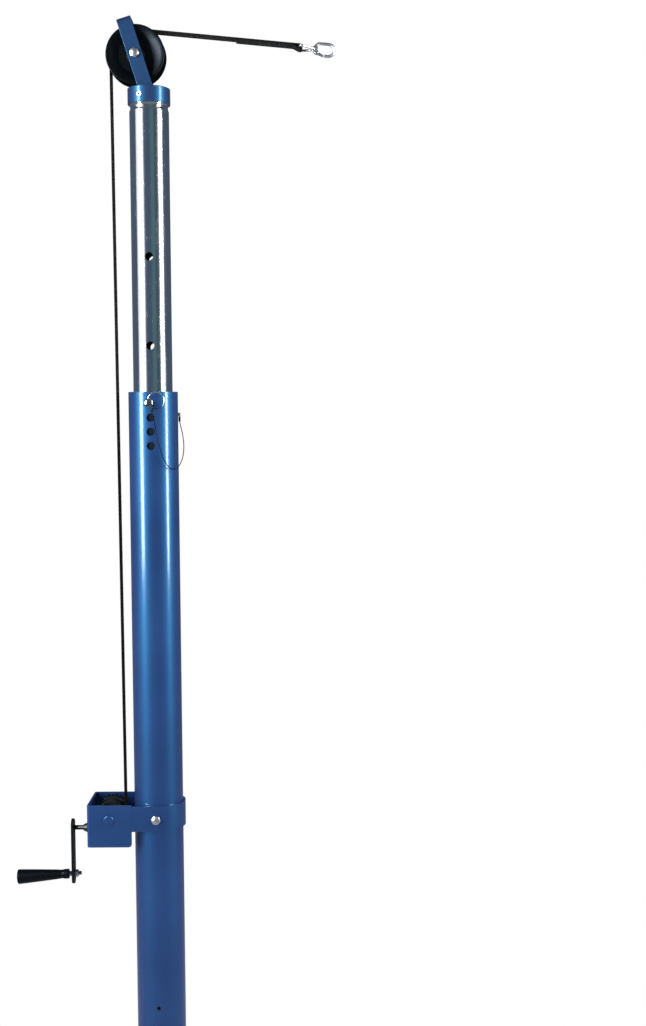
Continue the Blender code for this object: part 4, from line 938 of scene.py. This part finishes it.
def lock_pin():
    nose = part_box("lock_pin")[1].y - HEAD.y
    seat_y = 0.0055
    profile = [
        (0, nose),
        (0.0042, nose),
        (0.0060, nose - 0.003),
        (0.0060, seat_y + 0.0012),
        (0.0056, seat_y + 0.0009),
        (0.0056, seat_y),
        (0.0070, seat_y),
    ]
    for n in range(13):
        angle = math.pi / 2 * n / 12
        profile.append((0.0070 * math.cos(angle), -0.0022 - 0.0033 * math.sin(angle)))
    profile[-1] = (0, -0.0055)
    shape = turned(profile, 72, 0.0005, 3, 35, seat(HEAD, (0, 1, 0)))
    hole = moved(cylinder(0.0022, -0.02, 0.02, 32), seat(HEAD, DOWN))
    return carved(shape, hole)


piece("pin_plunger", lock_pin(), chrome, "lock_pin", smooth=35)


def hoop(centre, radius, wire, side_a, side_b, steps=96, sides=16, **strands):
    """A closed ring of wire round a centre, in the plane of two directions."""
    route = []
    for n in range(steps):
        angle = 2 * math.pi * n / steps
        route.append(centre + radius * (side_a * math.cos(angle) + side_b * math.sin(angle)))
    return swept(route, wire, sides, ring=True, **strands)


RING = 0.0126
RING_WIRE = 0.0009
RING_REACH = 0.01155
RING_CENTRE = HEAD + OUT * RING_REACH
piece("pull_ring", hoop(RING_CENTRE, RING, RING_WIRE, OUT, -DOWN), chrome, "pin_ring", flat=False)

# %% Crimped eyes of the cable
CABLE = 0.00075
CABLE_EYE = 0.0026
FERRULE = 0.0080
ANCHOR_NECK = 0.0015


def crimped_eye(middle, away, across, down, base, start):
    loop = hoop(middle, CABLE_EYE, CABLE, away, across, 64, 24, lobes=6, lay=0.0163 / 4)
    sleeve = lathe([(0, FERRULE), (0.0016, FERRULE), (0.0016, 0), (0, 0)], 32)
    edges = [e for e in sleeve.edges if abs(e.verts[0].co.z - e.verts[1].co.z) > FERRULE / 2]
    bmesh.ops.subdivide_edges(sleeve, edges=edges, cuts=9, use_grid_fill=True)
    for vert in sleeve.verts:
        for pinch in (0.3, 0.7):
            near_pinch = max(0.0, 1 - abs(vert.co.z / FERRULE - pinch) / 0.12)
            vert.co.x *= 1 - 0.16 * near_pinch
    soften(sleeve, 0.0002, 2, 50)
    moved(sleeve, seat(base + down * start, down))
    return carved(loop, sleeve, operation="UNION")


along = 0.0095
inner = RING_REACH - math.sqrt(RING ** 2 - along ** 2)
on_wire = HEAD + OUT * inner + DOWN * along
away = (on_wire - RING_CENTRE).normalized()
middle = on_wire + away * (CABLE_EYE - CABLE - RING_WIRE - GAP)
pin_eye = piece(
    "cable_eye_at_pin", crimped_eye(middle, away, Vector((0, 1, 0)), DOWN, HEAD, along + 0.0020),
    rope, "lanyard_pin_end", flat=False,
)
first = HEAD + DOWN * (along + 0.0020 + FERRULE + GAP)

ANCHOR_Z = PIN_Z - 0.017
anchor_x = TUBE + GAP + 0.0012
middle = Vector((anchor_x, 0, ANCHOR_Z - (CABLE_EYE - CABLE - ANCHOR_NECK - GAP)))
anchor = Vector((anchor_x + 0.0008, 0, ANCHOR_Z))
plumb = Vector((0, 0, -1))
post_eye = piece(
    "cable_eye_at_post", crimped_eye(middle, plumb, Vector((0, 1, 0)), plumb, anchor, 0.0030),
    rope, "lanyard_post_end", flat=False,
)
last = anchor + plumb * (0.0030 + FERRULE + GAP)


# %% Cable between the eyes
def smooth(route, spacing):
    """Points at an even spacing on a smooth curve through the route's own points."""
    ends = [2 * route[0] - route[1], *route, 2 * route[-1] - route[-2]]
    dense = []
    for a, b, c, d in zip(ends, ends[1:], ends[2:], ends[3:]):
        for n in range(24):
            t = n / 24
            one = 2 * b + (c - a) * t
            two = (2 * a - 5 * b + 4 * c - d) * t * t + (3 * b - a - 3 * c + d) * t ** 3
            dense.append((one + two) / 2)
    dense.append(route[-1])
    length = sum((q - p).length for p, q in zip(dense, dense[1:]))
    count = round(length / spacing)
    path, walked = [dense[0]], 0.0
    for p, q in zip(dense, dense[1:]):
        span = (q - p).length
        while len(path) < count and walked + span >= length * len(path) / count:
            path.append(p.lerp(q, (length * len(path) / count - walked) / span))
        walked += span
    return path + [dense[-1]], length


cable_route, cable_length = smooth(
    [
        first,
        Vector((0.0080, HEAD.y + 0.0039, PIN_Z - 0.0300)),
        Vector((0.0105, HEAD.y + 0.0089, PIN_Z - 0.0480)),
        Vector((0.0150, -TUBE - 0.0059, PIN_Z - 0.0700)),
        Vector((0.0215, -TUBE - 0.0009, PIN_Z - 0.0890)),
        Vector((0.0300, -0.0315, PIN_Z - 0.1000)),
        Vector((TUBE + 0.0004, -0.0210, PIN_Z - 0.0985)),
        Vector((TUBE + 0.0067, -0.0110, PIN_Z - 0.0860)),
        Vector((TUBE + 0.0089, -0.0050, PIN_Z - 0.0680)),
        Vector((TUBE + 0.0069, -0.0015, PIN_Z - 0.0480)),
        last,
    ],
    0.0005,
)
cable = as_object("retaining_cable", swept(cable_route, CABLE, 24, lobes=6, lay=0.008))
cable.data.materials.append(rope.material)
cable.data.shade_smooth()
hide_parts("lanyard")
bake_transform(cable)
print("cable", round(cable_length * 1000), "mm")

anchor_profile = [
    (0, 0.0043), (0.0018, 0.0043), (0.0026, 0.0033), (0.0026, 0.0027), (ANCHOR_NECK, 0.0027),
    (ANCHOR_NECK, -0.0042), (0, -0.0042),
]
rivet = turned(anchor_profile, 40, 0.0003, 2, where=seat((TUBE, 0, ANCHOR_Z), (1, 0, 0)))
piece("cable_rivet", rivet, zinc, "lanyard_anchor")

# %% [markdown]
# ## The tubes
# A drilled tube is a turned ring with cylinders cut through it. The cuts leave long faces of odd shapes,
# and a shader that averages their normals would show dents round each hole. The true surface is round, so
# its normals are set exactly: straight out from the tube's axis.


# %% Outer tube and mast
HOLE_PITCH = 0.0216
BESIDE_HOLE = 0.0098


def cross_hole(radius, z, low=-0.1, high=0.1, along=(0, 1, 0)):
    return moved(cylinder(radius, low, high, 40), seat((0, 0, z), along))


STOP_Z = (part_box("mast_stop_pin")[0].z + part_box("mast_stop_pin")[1].z) / 2
cuts = [cross_hole(PIN_HOLE, PIN_Z - n * HOLE_PITCH) for n in range(4)]
cuts += [cross_hole(0.0033, STOP_Z), cross_hole(0.0043, DRUM.z)]
cuts.append(cross_hole(0.0018, ANCHOR_Z, 0, 0.1, (1, 0, 0)))
levels = [TUBE_TOP - 0.0006, tube_low.z + 0.0004, PIN_Z + BESIDE_HOLE, PIN_Z - 3 * HOLE_PITCH - BESIDE_HOLE]
levels += [STOP_Z + 0.006, STOP_Z - 0.006, DRUM.z + 0.007, DRUM.z - 0.007]
profile = [(TUBE, z) for z in levels]
profile += [(TUBE - 0.0006, TUBE_TOP), (TUBE - 0.00018, TUBE_TOP - 0.00018), (TUBE - 0.0004, tube_low.z)]
profile.sort(key=lambda spot: (-spot[1], spot[0]))
profile += [(TUBE_BORE, tube_low.z), (TUBE_BORE, TUBE_TOP - 0.0004), (TUBE_BORE + 0.0004, TUBE_TOP)]
tube = piece("painted_tube", carved(lathe(profile, 144), *cuts), blue, "outer_tube", flat=False)
round_normals(tube, [(TUBE, 1), (TUBE_BORE, -1)])

COLLAR_LOW, COLLAR_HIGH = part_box("head_collar")
mast_low, mast_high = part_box("mast_tube")
mast_holes = [PIN_Z, PIN_Z + 0.088, PIN_Z + 0.223]
levels = [mast_high.z, mast_low.z + 0.0004]
for z in mast_holes:
    levels += [z + BESIDE_HOLE, z - BESIDE_HOLE]
neck = []
for n in range(17):
    t = n / 16
    neck.append((MAST - 0.0014 * math.sin(math.pi * t), COLLAR_LOW.z - 0.010 * t))
profile = [(MAST, z) for z in levels] + neck
profile.sort(key=lambda spot: -spot[1])
profile += [(MAST - 0.0004, mast_low.z), (MAST_BORE, mast_low.z), (MAST_BORE, mast_high.z)]
mast = piece(
    "plated_mast", carved(lathe(profile, 128), *[cross_hole(PIN_HOLE, z) for z in mast_holes]),
    chrome, "mast_tube", flat=False,
)
round_normals(mast, [(MAST, 1), (MAST_BORE, -1)])

# %% [markdown]
# ## Collar, bracket and pulley
# The collar caps the mast and is held by a set screw. The bracket is one strip of thick steel folded over
# the pulley, leaning back with the strap's pull. A bolt runs through both legs with a washer on each side
# of the pulley.


# %% Collar and its screw
def head_collar():
    top, low, radius = COLLAR_HIGH.z, COLLAR_LOW.z, COLLAR_HIGH.x
    socket = MAST + 0.0003
    roof = top - 0.0055
    profile = [(0, top), (radius, top), (radius, low), (socket, low), (socket, roof), (0, roof)]
    shape = turned(profile, 128, 0.0011, 4)
    angle = math.radians(20)
    side = Vector((-math.sin(angle), -math.cos(angle), 0))
    spot = Vector((0, 0, low + (top - low) * 0.46))
    return carved(shape, moved(cylinder(0.0043, 0.02, 0.05, 40), seat(spot, side))), side, spot


shape, screw_side, screw_spot = head_collar()
piece("mast_collar", shape, head_blue, "head_collar")
outside = COLLAR_HIGH.x + 0.0012
socket_key = cylinder(0.0022, outside - 0.0018, outside + 0.01, 6)
shape = soften(cylinder(0.0040, MAST + 0.0003, outside, 48), 0.0006, 3)
shape = soften(carved(shape, socket_key), 0.00012, 2, 40)
# The socket's inner faces take the dark oiled steel: a painted shade in the recess.
for face in shape.faces:
    middle = face.calc_center_median()
    face.material_index = int(middle.xy.length < 0.0022 and outside - 0.002 < middle.z < outside - 0.0003)
screw = piece("collar_grub_screw", moved(shape, seat(screw_spot, screw_side, 0.3)), zinc, "collar_set_screw")
screw.data.materials.append(oiled.material)


# %% Bracket
BRACKET_INNER = 0.0175
BRACKET = 0.0048
BRACKET_HALF_WIDTH = 0.011
BRACKET_TOP = 0.0570
BRACKET_FOOT = 0.0495
BRACKET_LEAN = math.radians(-17.5)
BOLT_HOLE = 0.0043


def pulley_bracket():
    side = BRACKET_INNER + BRACKET / 2
    top = BRACKET_TOP - BRACKET / 2
    foot = 0.0739  # longer than the leg, because the leaning leg is cut level afterwards
    start = [(-BRACKET_HALF_WIDTH, -side, -foot), (BRACKET_HALF_WIDTH, -side, -foot)]
    shape = folded(start, [(0, 0, top + foot), (0, 2 * side, 0), (0, 0, -top - foot)], 0.007, 12)
    moved(shape, Matrix.Rotation(BRACKET_LEAN, 4, "Y"))
    geom = list(shape.verts) + list(shape.edges) + list(shape.faces)
    bmesh.ops.bisect_plane(
        shape, geom=geom, plane_co=(0, 0, GAP - BRACKET_FOOT), plane_no=(0, 0, 1), clear_inner=True
    )
    shape = closed(walled(shape, BRACKET))
    shape = carved(shape, moved(cylinder(BOLT_HOLE, -0.05, 0.05, 48), seat((0, 0, 0), (0, 1, 0))))
    return moved(soften(shape, 0.0006, 3, 40), Matrix.Translation(AXLE))


piece("head_bracket", pulley_bracket(), head_blue, "pulley_bracket")


# %% Bolt, nut and washers
def hexagon(across, low, high, steepest=32):
    """A forged hexagon: its top is a shallow crown, so that it catches light from both sides."""
    corner, flat = across / 2 / math.cos(math.pi / 6), across / 2 * 0.97
    crown = flat / math.sin(math.radians(steepest))
    slopes = [math.radians(steepest * n / 8) for n in range(9)]
    top = [(crown * math.sin(a), high - crown * (1 - math.cos(a))) for a in slopes]
    drop = (corner + 0.0004 - flat) * math.tan(math.radians(steepest))
    cone = lathe([*top, (corner + 0.0004, top[-1][1] - drop), (corner + 0.0004, low), (0, low)], 96)
    blank = cylinder(corner, low - 0.001, high + 0.001, 6)
    return soften(carved(blank, cone, operation="INTERSECT"), 0.00012, 2, 22)


def bolt(across, head, shank, length):
    """Along +Z with its seat at height 0: a hexagon head above and a threaded shank below."""
    shape = hexagon(across, 0, head)
    stem = soften(cylinder(shank, -length, head / 2, 48), 0.0005, 2)
    return carved(shape, stem, operation="UNION")


BOLT = (0.013, 0.0053, 0.004)  # across the flats, height of the head, radius of the shank
NUT = 0.0065
WASHER = 0.0014
WASHER_SEAT = 0.0158
front_seat = BRACKET_INNER + BRACKET + GAP
shape = bolt(*BOLT, 2 * front_seat + NUT + 0.002)
at_front = seat(AXLE + Vector((0, -front_seat, 0)), (0, -1, 0), 0.2)
piece("axle_bolt", moved(shape, at_front), zinc, "pulley_axle")
nut = carved(hexagon(BOLT[0], 0, NUT), cylinder(BOLT_HOLE, -0.01, 0.02, 48))
piece("axle_locknut", moved(nut, seat(AXLE + Vector((0, front_seat, 0)), (0, 1, 0), 0.2)), zinc, "axle_nut")
for end, side in (("front", -1), ("back", 1)):
    low, high = WASHER_SEAT, WASHER_SEAT + WASHER
    profile = [(0.0085, high), (0.0085, low), (BOLT_HOLE, low), (BOLT_HOLE, high)]
    ring = turned(profile, 64, 0.0002, 2, where=seat(AXLE, (0, side, 0)))
    piece("washer_" + end, ring, zinc, "pulley_washer_" + end)


# %% Pulley
def sheave():
    half, floor = 0.0155, STRAP_WIDTH / 2 + 0.0005
    bore = 0.0060 + 0.0003
    flank = [
        (bore, half),
        (bore + 0.006, half),
        (bore + 0.007, 0.0075),
        (0.0265, 0.0075),
        (0.0365, half - 0.0013),
        (0.0420, half),
        (0.0440, half),
        (0.0450, half - 0.0010),
        (0.0446, half - 0.00225),
        (0.0375, floor),
    ]
    return turned(mirrored(flank), 160, 0.0005, 3, 25, seat(AXLE, (0, 1, 0)))


piece("sheave", sheave(), moulded, "pulley", smooth=45)

# %% [markdown]
# ## The winch
# The housing is a folded sheet round the drum, open at its top and bottom, and a band round the tube
# carries it. Two hexagon screws hold the band; the drum turns on a headed axle that is painted over.

# %% Housing
BAND_THICKNESS = 0.0036
BAND = TUBE + GAP + BAND_THICKNESS
WALL = 0.003
HOUSING_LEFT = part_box("winch_housing")[0].x
HOUSING_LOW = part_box("winch_housing")[0].z
HOUSING_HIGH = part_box("winch_housing")[1].z
AT_BUSH = seat((HOUSING_LEFT, SHAFT.y, SHAFT.z), (1, 0, 0))


def winch_housing():
    side = BAND - WALL / 2
    left = HOUSING_LEFT + WALL / 2
    right = -TUBE - 0.0002
    low, high = HOUSING_LOW, HOUSING_HIGH
    start = [(right + 0.002, -side, low - 0.002), (right + 0.002, -side, high)]
    across = Vector((left - right - 0.002, 0, 0))
    shape = folded(start, [across, (0, 2 * side, 0), -across], 0.0025, 10)
    shape = walled(shape, WALL)
    past = HOUSING_LEFT - 0.01
    corners = [(past, high + 0.01), (past, low), (right, low), (right, high + 0.01)]
    trim = panel(corners, [0, 0.014, 0.005, 0], 0.12)
    moved(trim, Matrix.Translation((0, 0.06, 0)) @ Matrix.Rotation(math.pi / 2, 4, "X"))
    axle_hole = moved(cylinder(0.0053, -0.1, 0.1, 48), seat(DRUM, (0, 1, 0)))
    bush_hole = moved(cylinder(0.0063, -0.01, 0.01, 48), AT_BUSH)
    shape = carved(closed(shape), trim, operation="INTERSECT")
    shape = carved(shape, axle_hole, bush_hole)
    return soften(shape, 0.0005, 3, 35)


piece("folded_housing", winch_housing(), blue, "winch_housing")


# %% Band and its screws
def clamp_band():
    radius = TUBE + GAP + BAND_THICKNESS / 2
    start, low, high = -TUBE + 0.0001, DRUM.z - 0.018, DRUM.z + 0.021
    shape = bmesh.new()
    edge = [shape.edges.new([shape.verts.new((start, -radius, z)) for z in (low, high)])]
    edge = pull(shape, edge, (-start, 0, 0))
    spun = bmesh.ops.spin(
        shape, geom=edge, cent=(0, 0, 0), axis=(0, 0, 1), angle=math.pi, steps=64, use_merge=False
    )["geom_last"]
    pull(shape, of_kind(spun, bmesh.types.BMEdge), (start, 0, 0))
    shape = closed(walled(closed(shape), BAND_THICKNESS))
    shape = carved(shape, cross_hole(0.0043, DRUM.z))
    return soften(shape, 0.0006, 3, 40)


piece("tube_band", clamp_band(), blue, "clamp_band")
for end, side, spin in (("front", -1, 0.35), ("back", 1, 0.1)):
    shape = bolt(*BOLT, BAND + GAP - TUBE_BORE - 0.0002)
    where = seat((0, side * (BAND + GAP), DRUM.z), (0, side, 0), spin)
    piece("band_screw_" + end, moved(shape, where), zinc, "clamp_screw_" + end)


# %% Drum axle, drum and gears
def drum_axle():
    outer = BAND + 0.0003
    clip = outer + 0.0002
    back = clip + 0.0012 + 0.0018
    profile = [
        (0, back), (0.0050, back), (0.0050, clip + 0.0015), (0.0042, clip + 0.0015), (0.0042, clip - 0.0003),
        (0.0050, clip - 0.0003), (0.0050, -outer), (0.0080, -outer), (0.0080, -outer - 0.0012),
        (0.0065, -outer - 0.0024), (0, -outer - 0.0028),
    ]
    return turned(profile, 72, 0.0004, 3, 25, seat(DRUM, (0, 1, 0)))


piece("headed_axle", drum_axle(), blue, "drum_axle")


def winch_drum():
    end = BAND - WALL - 0.0004
    inner = STRAP_WIDTH / 2 + 0.0005
    flank = [
        (0.0053, end), (0.0085, end), (0.0085, inner + 0.002), (0.023, inner + 0.002), (0.023, inner),
        (0.010, inner),
    ]
    return turned(mirrored(flank), 96, 0.0004, 2, where=seat(DRUM, (0, 1, 0)))


piece("turned_drum", winch_drum(), oiled, "winch_drum")


def refined(node, width, segments=2, above=30):
    """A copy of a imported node, its loose triangles merged and its edges rounded a little."""
    shape = bmesh.new()
    shape.from_mesh(frame["nodes"][node].data)
    bmesh.ops.remove_doubles(shape, verts=shape.verts, dist=0.000002)
    bmesh.ops.dissolve_limit(shape, angle_limit=math.radians(1), verts=shape.verts, edges=shape.edges)
    return soften(shape, width, segments, above)


piece("cut_wheel", refined("worm_wheel", 0.00015, 2, 35), greased, "worm_wheel")
piece("bearing_block", refined("worm_bearing", 0.0004), oiled, "worm_bearing")
piece("spring_clip", refined("axle_clip", 0.00015), oiled, "axle_clip")


TEETH = 24
WHEEL_PITCH = 0.045  # across the wheel's pitch circle
WORM_PITCH = 0.0070
PLAY = 0.0011
FLANK_SLOPE = math.tan(math.radians(22))
THREAD_STEPS = 48


def worm_shaft():
    """The shaft is turned; its thread is one tooth's section spun along the axis."""
    pitch_radius, module = WORM_PITCH, WHEEL_PITCH / TEETH
    lead_length = math.pi * module
    outer, root = pitch_radius + module * 0.95, pitch_radius - module * 1.2
    left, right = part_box("worm_shaft")[0].x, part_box("worm_shaft")[1].x
    half = lead_length * 2
    collar = HOUSING_LEFT + WALL + 0.003
    shaft = 0.00365
    profile = [
        (0, right), (shaft, right), (shaft, DRUM.x + half + 0.002), (root, DRUM.x + half + 0.001),
        (root, DRUM.x - half - 0.001), (shaft, DRUM.x - half - 0.002), (shaft, collar + 0.003),
        (shaft + 0.0018, collar + 0.003), (shaft + 0.0018, collar), (shaft, collar), (shaft, left), (0, left),
    ]
    core = turned(profile, 64, 0.0003, 2, 40)
    thickness = (lead_length - PLAY) / 2
    sunk = root - 0.0006
    tip_half = thickness / 2 - FLANK_SLOPE * (outer - pitch_radius)
    foot_half = thickness / 2 + FLANK_SLOPE * (pitch_radius - sunk)
    turns = 3
    start = DRUM.x - lead_length * turns / 2
    tooth = bmesh.new()
    spots = ((sunk, -foot_half), (outer, -tip_half), (outer, tip_half), (sunk, foot_half))
    face = tooth.faces.new([tooth.verts.new((0, radius, start + along)) for radius, along in spots])
    angle = -math.pi * turns
    bmesh.ops.rotate(tooth, cent=(0, 0, 0), matrix=Matrix.Rotation(angle, 3, "Z"), verts=tooth.verts)
    bmesh.ops.spin(
        tooth, geom=[face], cent=(0, 0, 0), axis=(0, 0, 1), angle=2 * math.pi * turns,
        steps=THREAD_STEPS * turns, dvec=(0, 0, lead_length / THREAD_STEPS), use_merge=False,
    )
    bmesh.ops.recalc_face_normals(tooth, faces=tooth.faces)
    shape = carved(core, tooth, operation="UNION")
    return moved(shape, Matrix.Translation((0, SHAFT.y, SHAFT.z)) @ Matrix.Rotation(math.pi / 2, 4, "Y"))


piece("cut_worm", worm_shaft(), oiled, "worm_shaft", flat=False)


def shaft_bush():
    wall, end, inside = -0.0003, -0.016, WALL + 0.0024
    bore = 0.00395
    profile = [
        (0.0060, inside), (0.0060, wall), (0.0075, wall), (0.0075, (wall + end) / 2 - 0.002),
        (bore + 0.0009, end), (bore, end), (bore, inside),
    ]
    return turned(profile, 72, 0.0004, 3, 20, AT_BUSH)


piece("flanged_bush", shaft_bush(), oiled, "shaft_bush")

# %% [markdown]
# ## The crank
# A flat black arm with round ends is pressed on the worm's shaft. Its grip is a tapered plastic sleeve that
# turns on a plated spindle, a touch below level, and a nut holds the spindle in the arm.

# %% Crank arm, spindle and grip
ARM = 0.004
ARM_X = (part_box("crank_arm")[0].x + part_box("crank_arm")[1].x) / 2
ARM_REACH = 0.0749
DROOP = math.radians(3.3)
LEAN = Vector((math.cos(DROOP), 0, math.sin(DROOP)))
SPINDLE = Vector((ARM_X, SHAFT.y, SHAFT.z - ARM_REACH))
GRIP_START = -ARM / 2 - 0.0055
GRIP_LENGTH = 0.082
GRIP_END = GRIP_START - GRIP_LENGTH
GRIP_NARROW, GRIP_WIDE = 0.0068, 0.0116
SMALL_NUT = 0.0105  # across the flats


def crank_arm():
    half = 0.0095
    low, high = -ARM_REACH - 0.0161, 0.0143
    corners = [(-half, low), (half, low), (half, high), (-half, high)]
    shape = panel(corners, [half - 0.00001] * 4, ARM)
    spindle_hole = moved(cylinder(0.0043, -0.01, 0.02, 48), Matrix.Translation((0, -ARM_REACH, 0)))
    shape = carved(closed(shape), cylinder(0.00395, -0.01, 0.02, 48), spindle_hole)
    soften(shape, 0.0005, 3, 40)
    upright = Matrix.Rotation(math.pi / 2, 4, "Z") @ Matrix.Rotation(math.pi / 2, 4, "X")
    return moved(shape, Matrix.Translation((ARM_X - ARM / 2, SHAFT.y, SHAFT.z)) @ upright)


piece("flat_arm", crank_arm(), arm_paint, "crank_arm")
slant = 0.004 * math.tan(DROOP) + GAP
nut_low = ARM / 2 + slant + SMALL_NUT / 2 * math.tan(DROOP)
recess = GRIP_END + 0.005
profile = [
    (0, nut_low + 0.0095), (0.0030, nut_low + 0.0095), (0.0030, ARM / 2 + slant), (0.0040, ARM / 2 + slant),
    (0.0040, recess - 0.0003), (0.0065, recess - 0.0003), (0.0065, recess - 0.003), (0.0058, recess - 0.0036),
    (0, recess - 0.0036),
]
spindle = turned(profile, 64, 0.0003, 2, 25, seat(SPINDLE, LEAN))
piece("plated_spindle", spindle, chrome, "grip_spindle")
nut = carved(hexagon(SMALL_NUT, 0, 0.006), cylinder(0.0033, -0.01, 0.02, 40))
piece("spindle_locknut", moved(nut, seat(SPINDLE + LEAN * nut_low, LEAN, 0.4)), zinc, "spindle_nut")


def crank_grip():
    start, end = GRIP_START, GRIP_END
    neck = start - 0.007
    body = []
    for n in range(25):
        t = n / 24
        along = neck - 0.0045 + (end + 0.002 - neck + 0.0045) * t
        body.append((GRIP_NARROW + (GRIP_WIDE - GRIP_NARROW) * t ** 0.85, along))
    profile = [
        (0.0044, start), (0.0077, start), (0.0077, neck), (0.0070, neck - 0.0025), *body,
        (0.0112, end + 0.0006), (0.0101, end), (0.0070, end), (0.0070, end + 0.005), (0.0044, end + 0.005),
    ]
    return turned(profile, 96, 0.0006, 3, 28, seat(SPINDLE, LEAN))


piece("tapered_grip", crank_grip(), moulded, "crank_grip")

# %% [markdown]
# ## Parts that stay as imported
# The parts inside the tubes are right as they are. They keep the frame's own mesh and only take a finish.

# %% Finishes on imported parts
for node, look in (
    ("foot_plug", rubber), ("tube_top_bush", nylon), ("mast_foot_guide", nylon), ("mast_stop_pin", oiled),
    ("pulley_bush", bronze), ("strap_core", webbing),
):
    thing = frame["nodes"][node]
    thing.data.materials.clear()
    thing.data.materials.append(look.material)

# %% [markdown]
# ## Floor and light
# A plain studio: a pale floor and large soft lamps. Seen by the camera the world is white, and so is the
# floor away from the post; near its foot the floor keeps the shadow. What bright metal shows is what stands
# round it, so reflected rays see a room of their own: bands of light and dark set by compass direction, each
# of which becomes one upright stripe on the mast. Loose light from all round fills the shadows. The lamps
# share the work too. Wide soft boxes light the matt surfaces and don't show in the shiny ones, and narrow
# strips show only in the shiny ones, where they draw the white lines on paint and plating.


# %% Floor
def floor_finish():
    skin = Finish("pale_floor", None, (0.9, 0.9, 0.895), 0.6)
    speckle = skin.noise(skin.place, 3, 3)
    pale = skin.mix(speckle, grey((0.89, 0.89, 0.885)), grey((0.92, 0.92, 0.915)))
    mirrored = skin.node("LightPath", output="Is Glossy Ray")
    skin.set("Base Color", skin.mix(mirrored, pale, grey((0.36, 0.38, 0.41))))
    seen = skin.node("LightPath", output="Is Camera Ray")
    away = skin.node("VectorMath", {"operation": "LENGTH"}, {0: skin.place}, "Value")
    share = seen * (0.75 + 0.25 * away.between(0.9, 1.9))
    glow = skin.node("Emission", {}, {"Color": (1, 1, 1, 1), "Strength": 1.0})
    mixed = skin.node("MixShader", {}, {0: share, 1: Value(skin, skin.shader.outputs[0]), 2: glow})
    output = skin.tree.nodes["Material Output"]
    skin.tree.links.new(mixed.socket, output.inputs["Surface"])
    return skin


shape = bmesh.new()
bmesh.ops.create_grid(shape, x_segments=2, y_segments=2, size=15)
floor = as_object("floor", shape)
floor.data.materials.append(floor_finish().material)
floor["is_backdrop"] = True

# %% World
world = bpy.data.worlds.new("studio")
world.use_nodes = True
scene.world = world
room = Nodes(world.node_tree)
direction = room.node("TexCoord", output="Generated")
to_right, to_camera = room.part(direction, "X"), room.part(direction, "Y") * -1.0
azimuth = room.node("Math", {"operation": "ARCTAN2"}, {0: to_right, 1: to_camera})
walls = room.tree.nodes.new("ShaderNodeValToRGB")
slate, violet, teal = (0.065, 0.095, 0.14), (0.055, 0.08, 0.11), (0.075, 0.16, 0.18)
white, pale, shade = (1.05, 1.05, 1.05), (0.16, 0.22, 0.30), (0.09, 0.12, 0.17)
stops = (
    (-180, slate), (-174, slate), (-172, shade), (-140, shade), (-82, slate), (-77, white),
    (-33, white), (-30, pale), (-22, slate), (4, slate), (14, teal), (28, teal), (36, violet),
    (54, violet), (57, white), (84, white), (88, slate), (180, slate),
)
for n, (degrees, tone) in enumerate(stops):
    place = degrees / 360 + 0.5
    stop = walls.color_ramp.elements[n] if n < 2 else walls.color_ramp.elements.new(place)
    stop.position = place
    stop.color = grey(tone)
room.tree.links.new((azimuth / (2 * math.pi) + 0.5).socket, walls.inputs[0])
height = room.part(direction, "Z")
banded = room.mix(height.between(-0.22, -0.04), (0.13, 0.15, 0.18, 1), Value(room, walls.outputs[0]))
mirror = room.mix(height.between(0.35, 0.8), banded, (0.10, 0.11, 0.13, 1))
soft_light = room.mix(height.between(0.0, 0.7), (0.55, 0.56, 0.58, 1), (0.34, 0.35, 0.37, 1))
camera_ray = room.node("LightPath", output="Is Camera Ray")
glossy_ray = room.node("LightPath", output="Is Glossy Ray")
through_ray = room.node("LightPath", output="Is Transmission Ray")
fill = room.mix(glossy_ray, soft_light, mirror)
colour = room.mix(camera_ray.maths("MAXIMUM", camera_ray, through_ray), fill, (1, 1, 1, 1))
back = room.tree.nodes["Background"]
room.tree.links.new(colour.socket, back.inputs["Color"])


# %% Lamps
def lamp(name, azimuth, distance, width, height, power, aim_z, z):
    """A lit rectangle; azimuth 0 stands on the camera's side and 90 on the hook's side."""
    data = bpy.data.lights.new(name, "AREA")
    data.shape = "RECTANGLE"
    data.size = width
    data.size_y = height
    data.energy = power
    thing = bpy.data.objects.new(name, data)
    angle = math.radians(azimuth)
    spot = Vector((distance * math.sin(angle), -distance * math.cos(angle), z))
    aim = Vector((0, 0, aim_z)) - spot
    thing.matrix_world = Matrix.Translation(spot) @ aim.to_track_quat("-Z", "Y").to_matrix().to_4x4()
    scene.collection.objects.link(thing)
    return thing


for *numbers, shiny in (
    ("softbox_left", -52, 2.6, 1.8, 2.4, 88, 2.2, 2.5, False),
    ("softbox_right", 70, 2.6, 1.4, 2.4, 62, 2.2, 2.5, False),
    ("strip_left", -51, 2.55, 0.7, 2.1, 155, 2.65, 2.65, True),
    ("strip_right", 70, 2.55, 0.5, 2.1, 110, 2.65, 2.65, True),
    ("softbox_back", 180, 3.0, 3.0, 2.4, 85, 1.4, 2.6, False),
):
    thing = lamp(*numbers)
    thing.visible_glossy = shiny
    thing.visible_diffuse = not shiny
print("lamps:", len(bpy.data.lights))

# %% [markdown]
# ## Check and finish
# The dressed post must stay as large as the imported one, so both boxes are kept side by side.

# %% Finish
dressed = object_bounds()
for name, pair in (("cad", CAD_BOX), ("visual", dressed)):
    print(name, [[round(c, 4) for c in corner] for corner in pair])
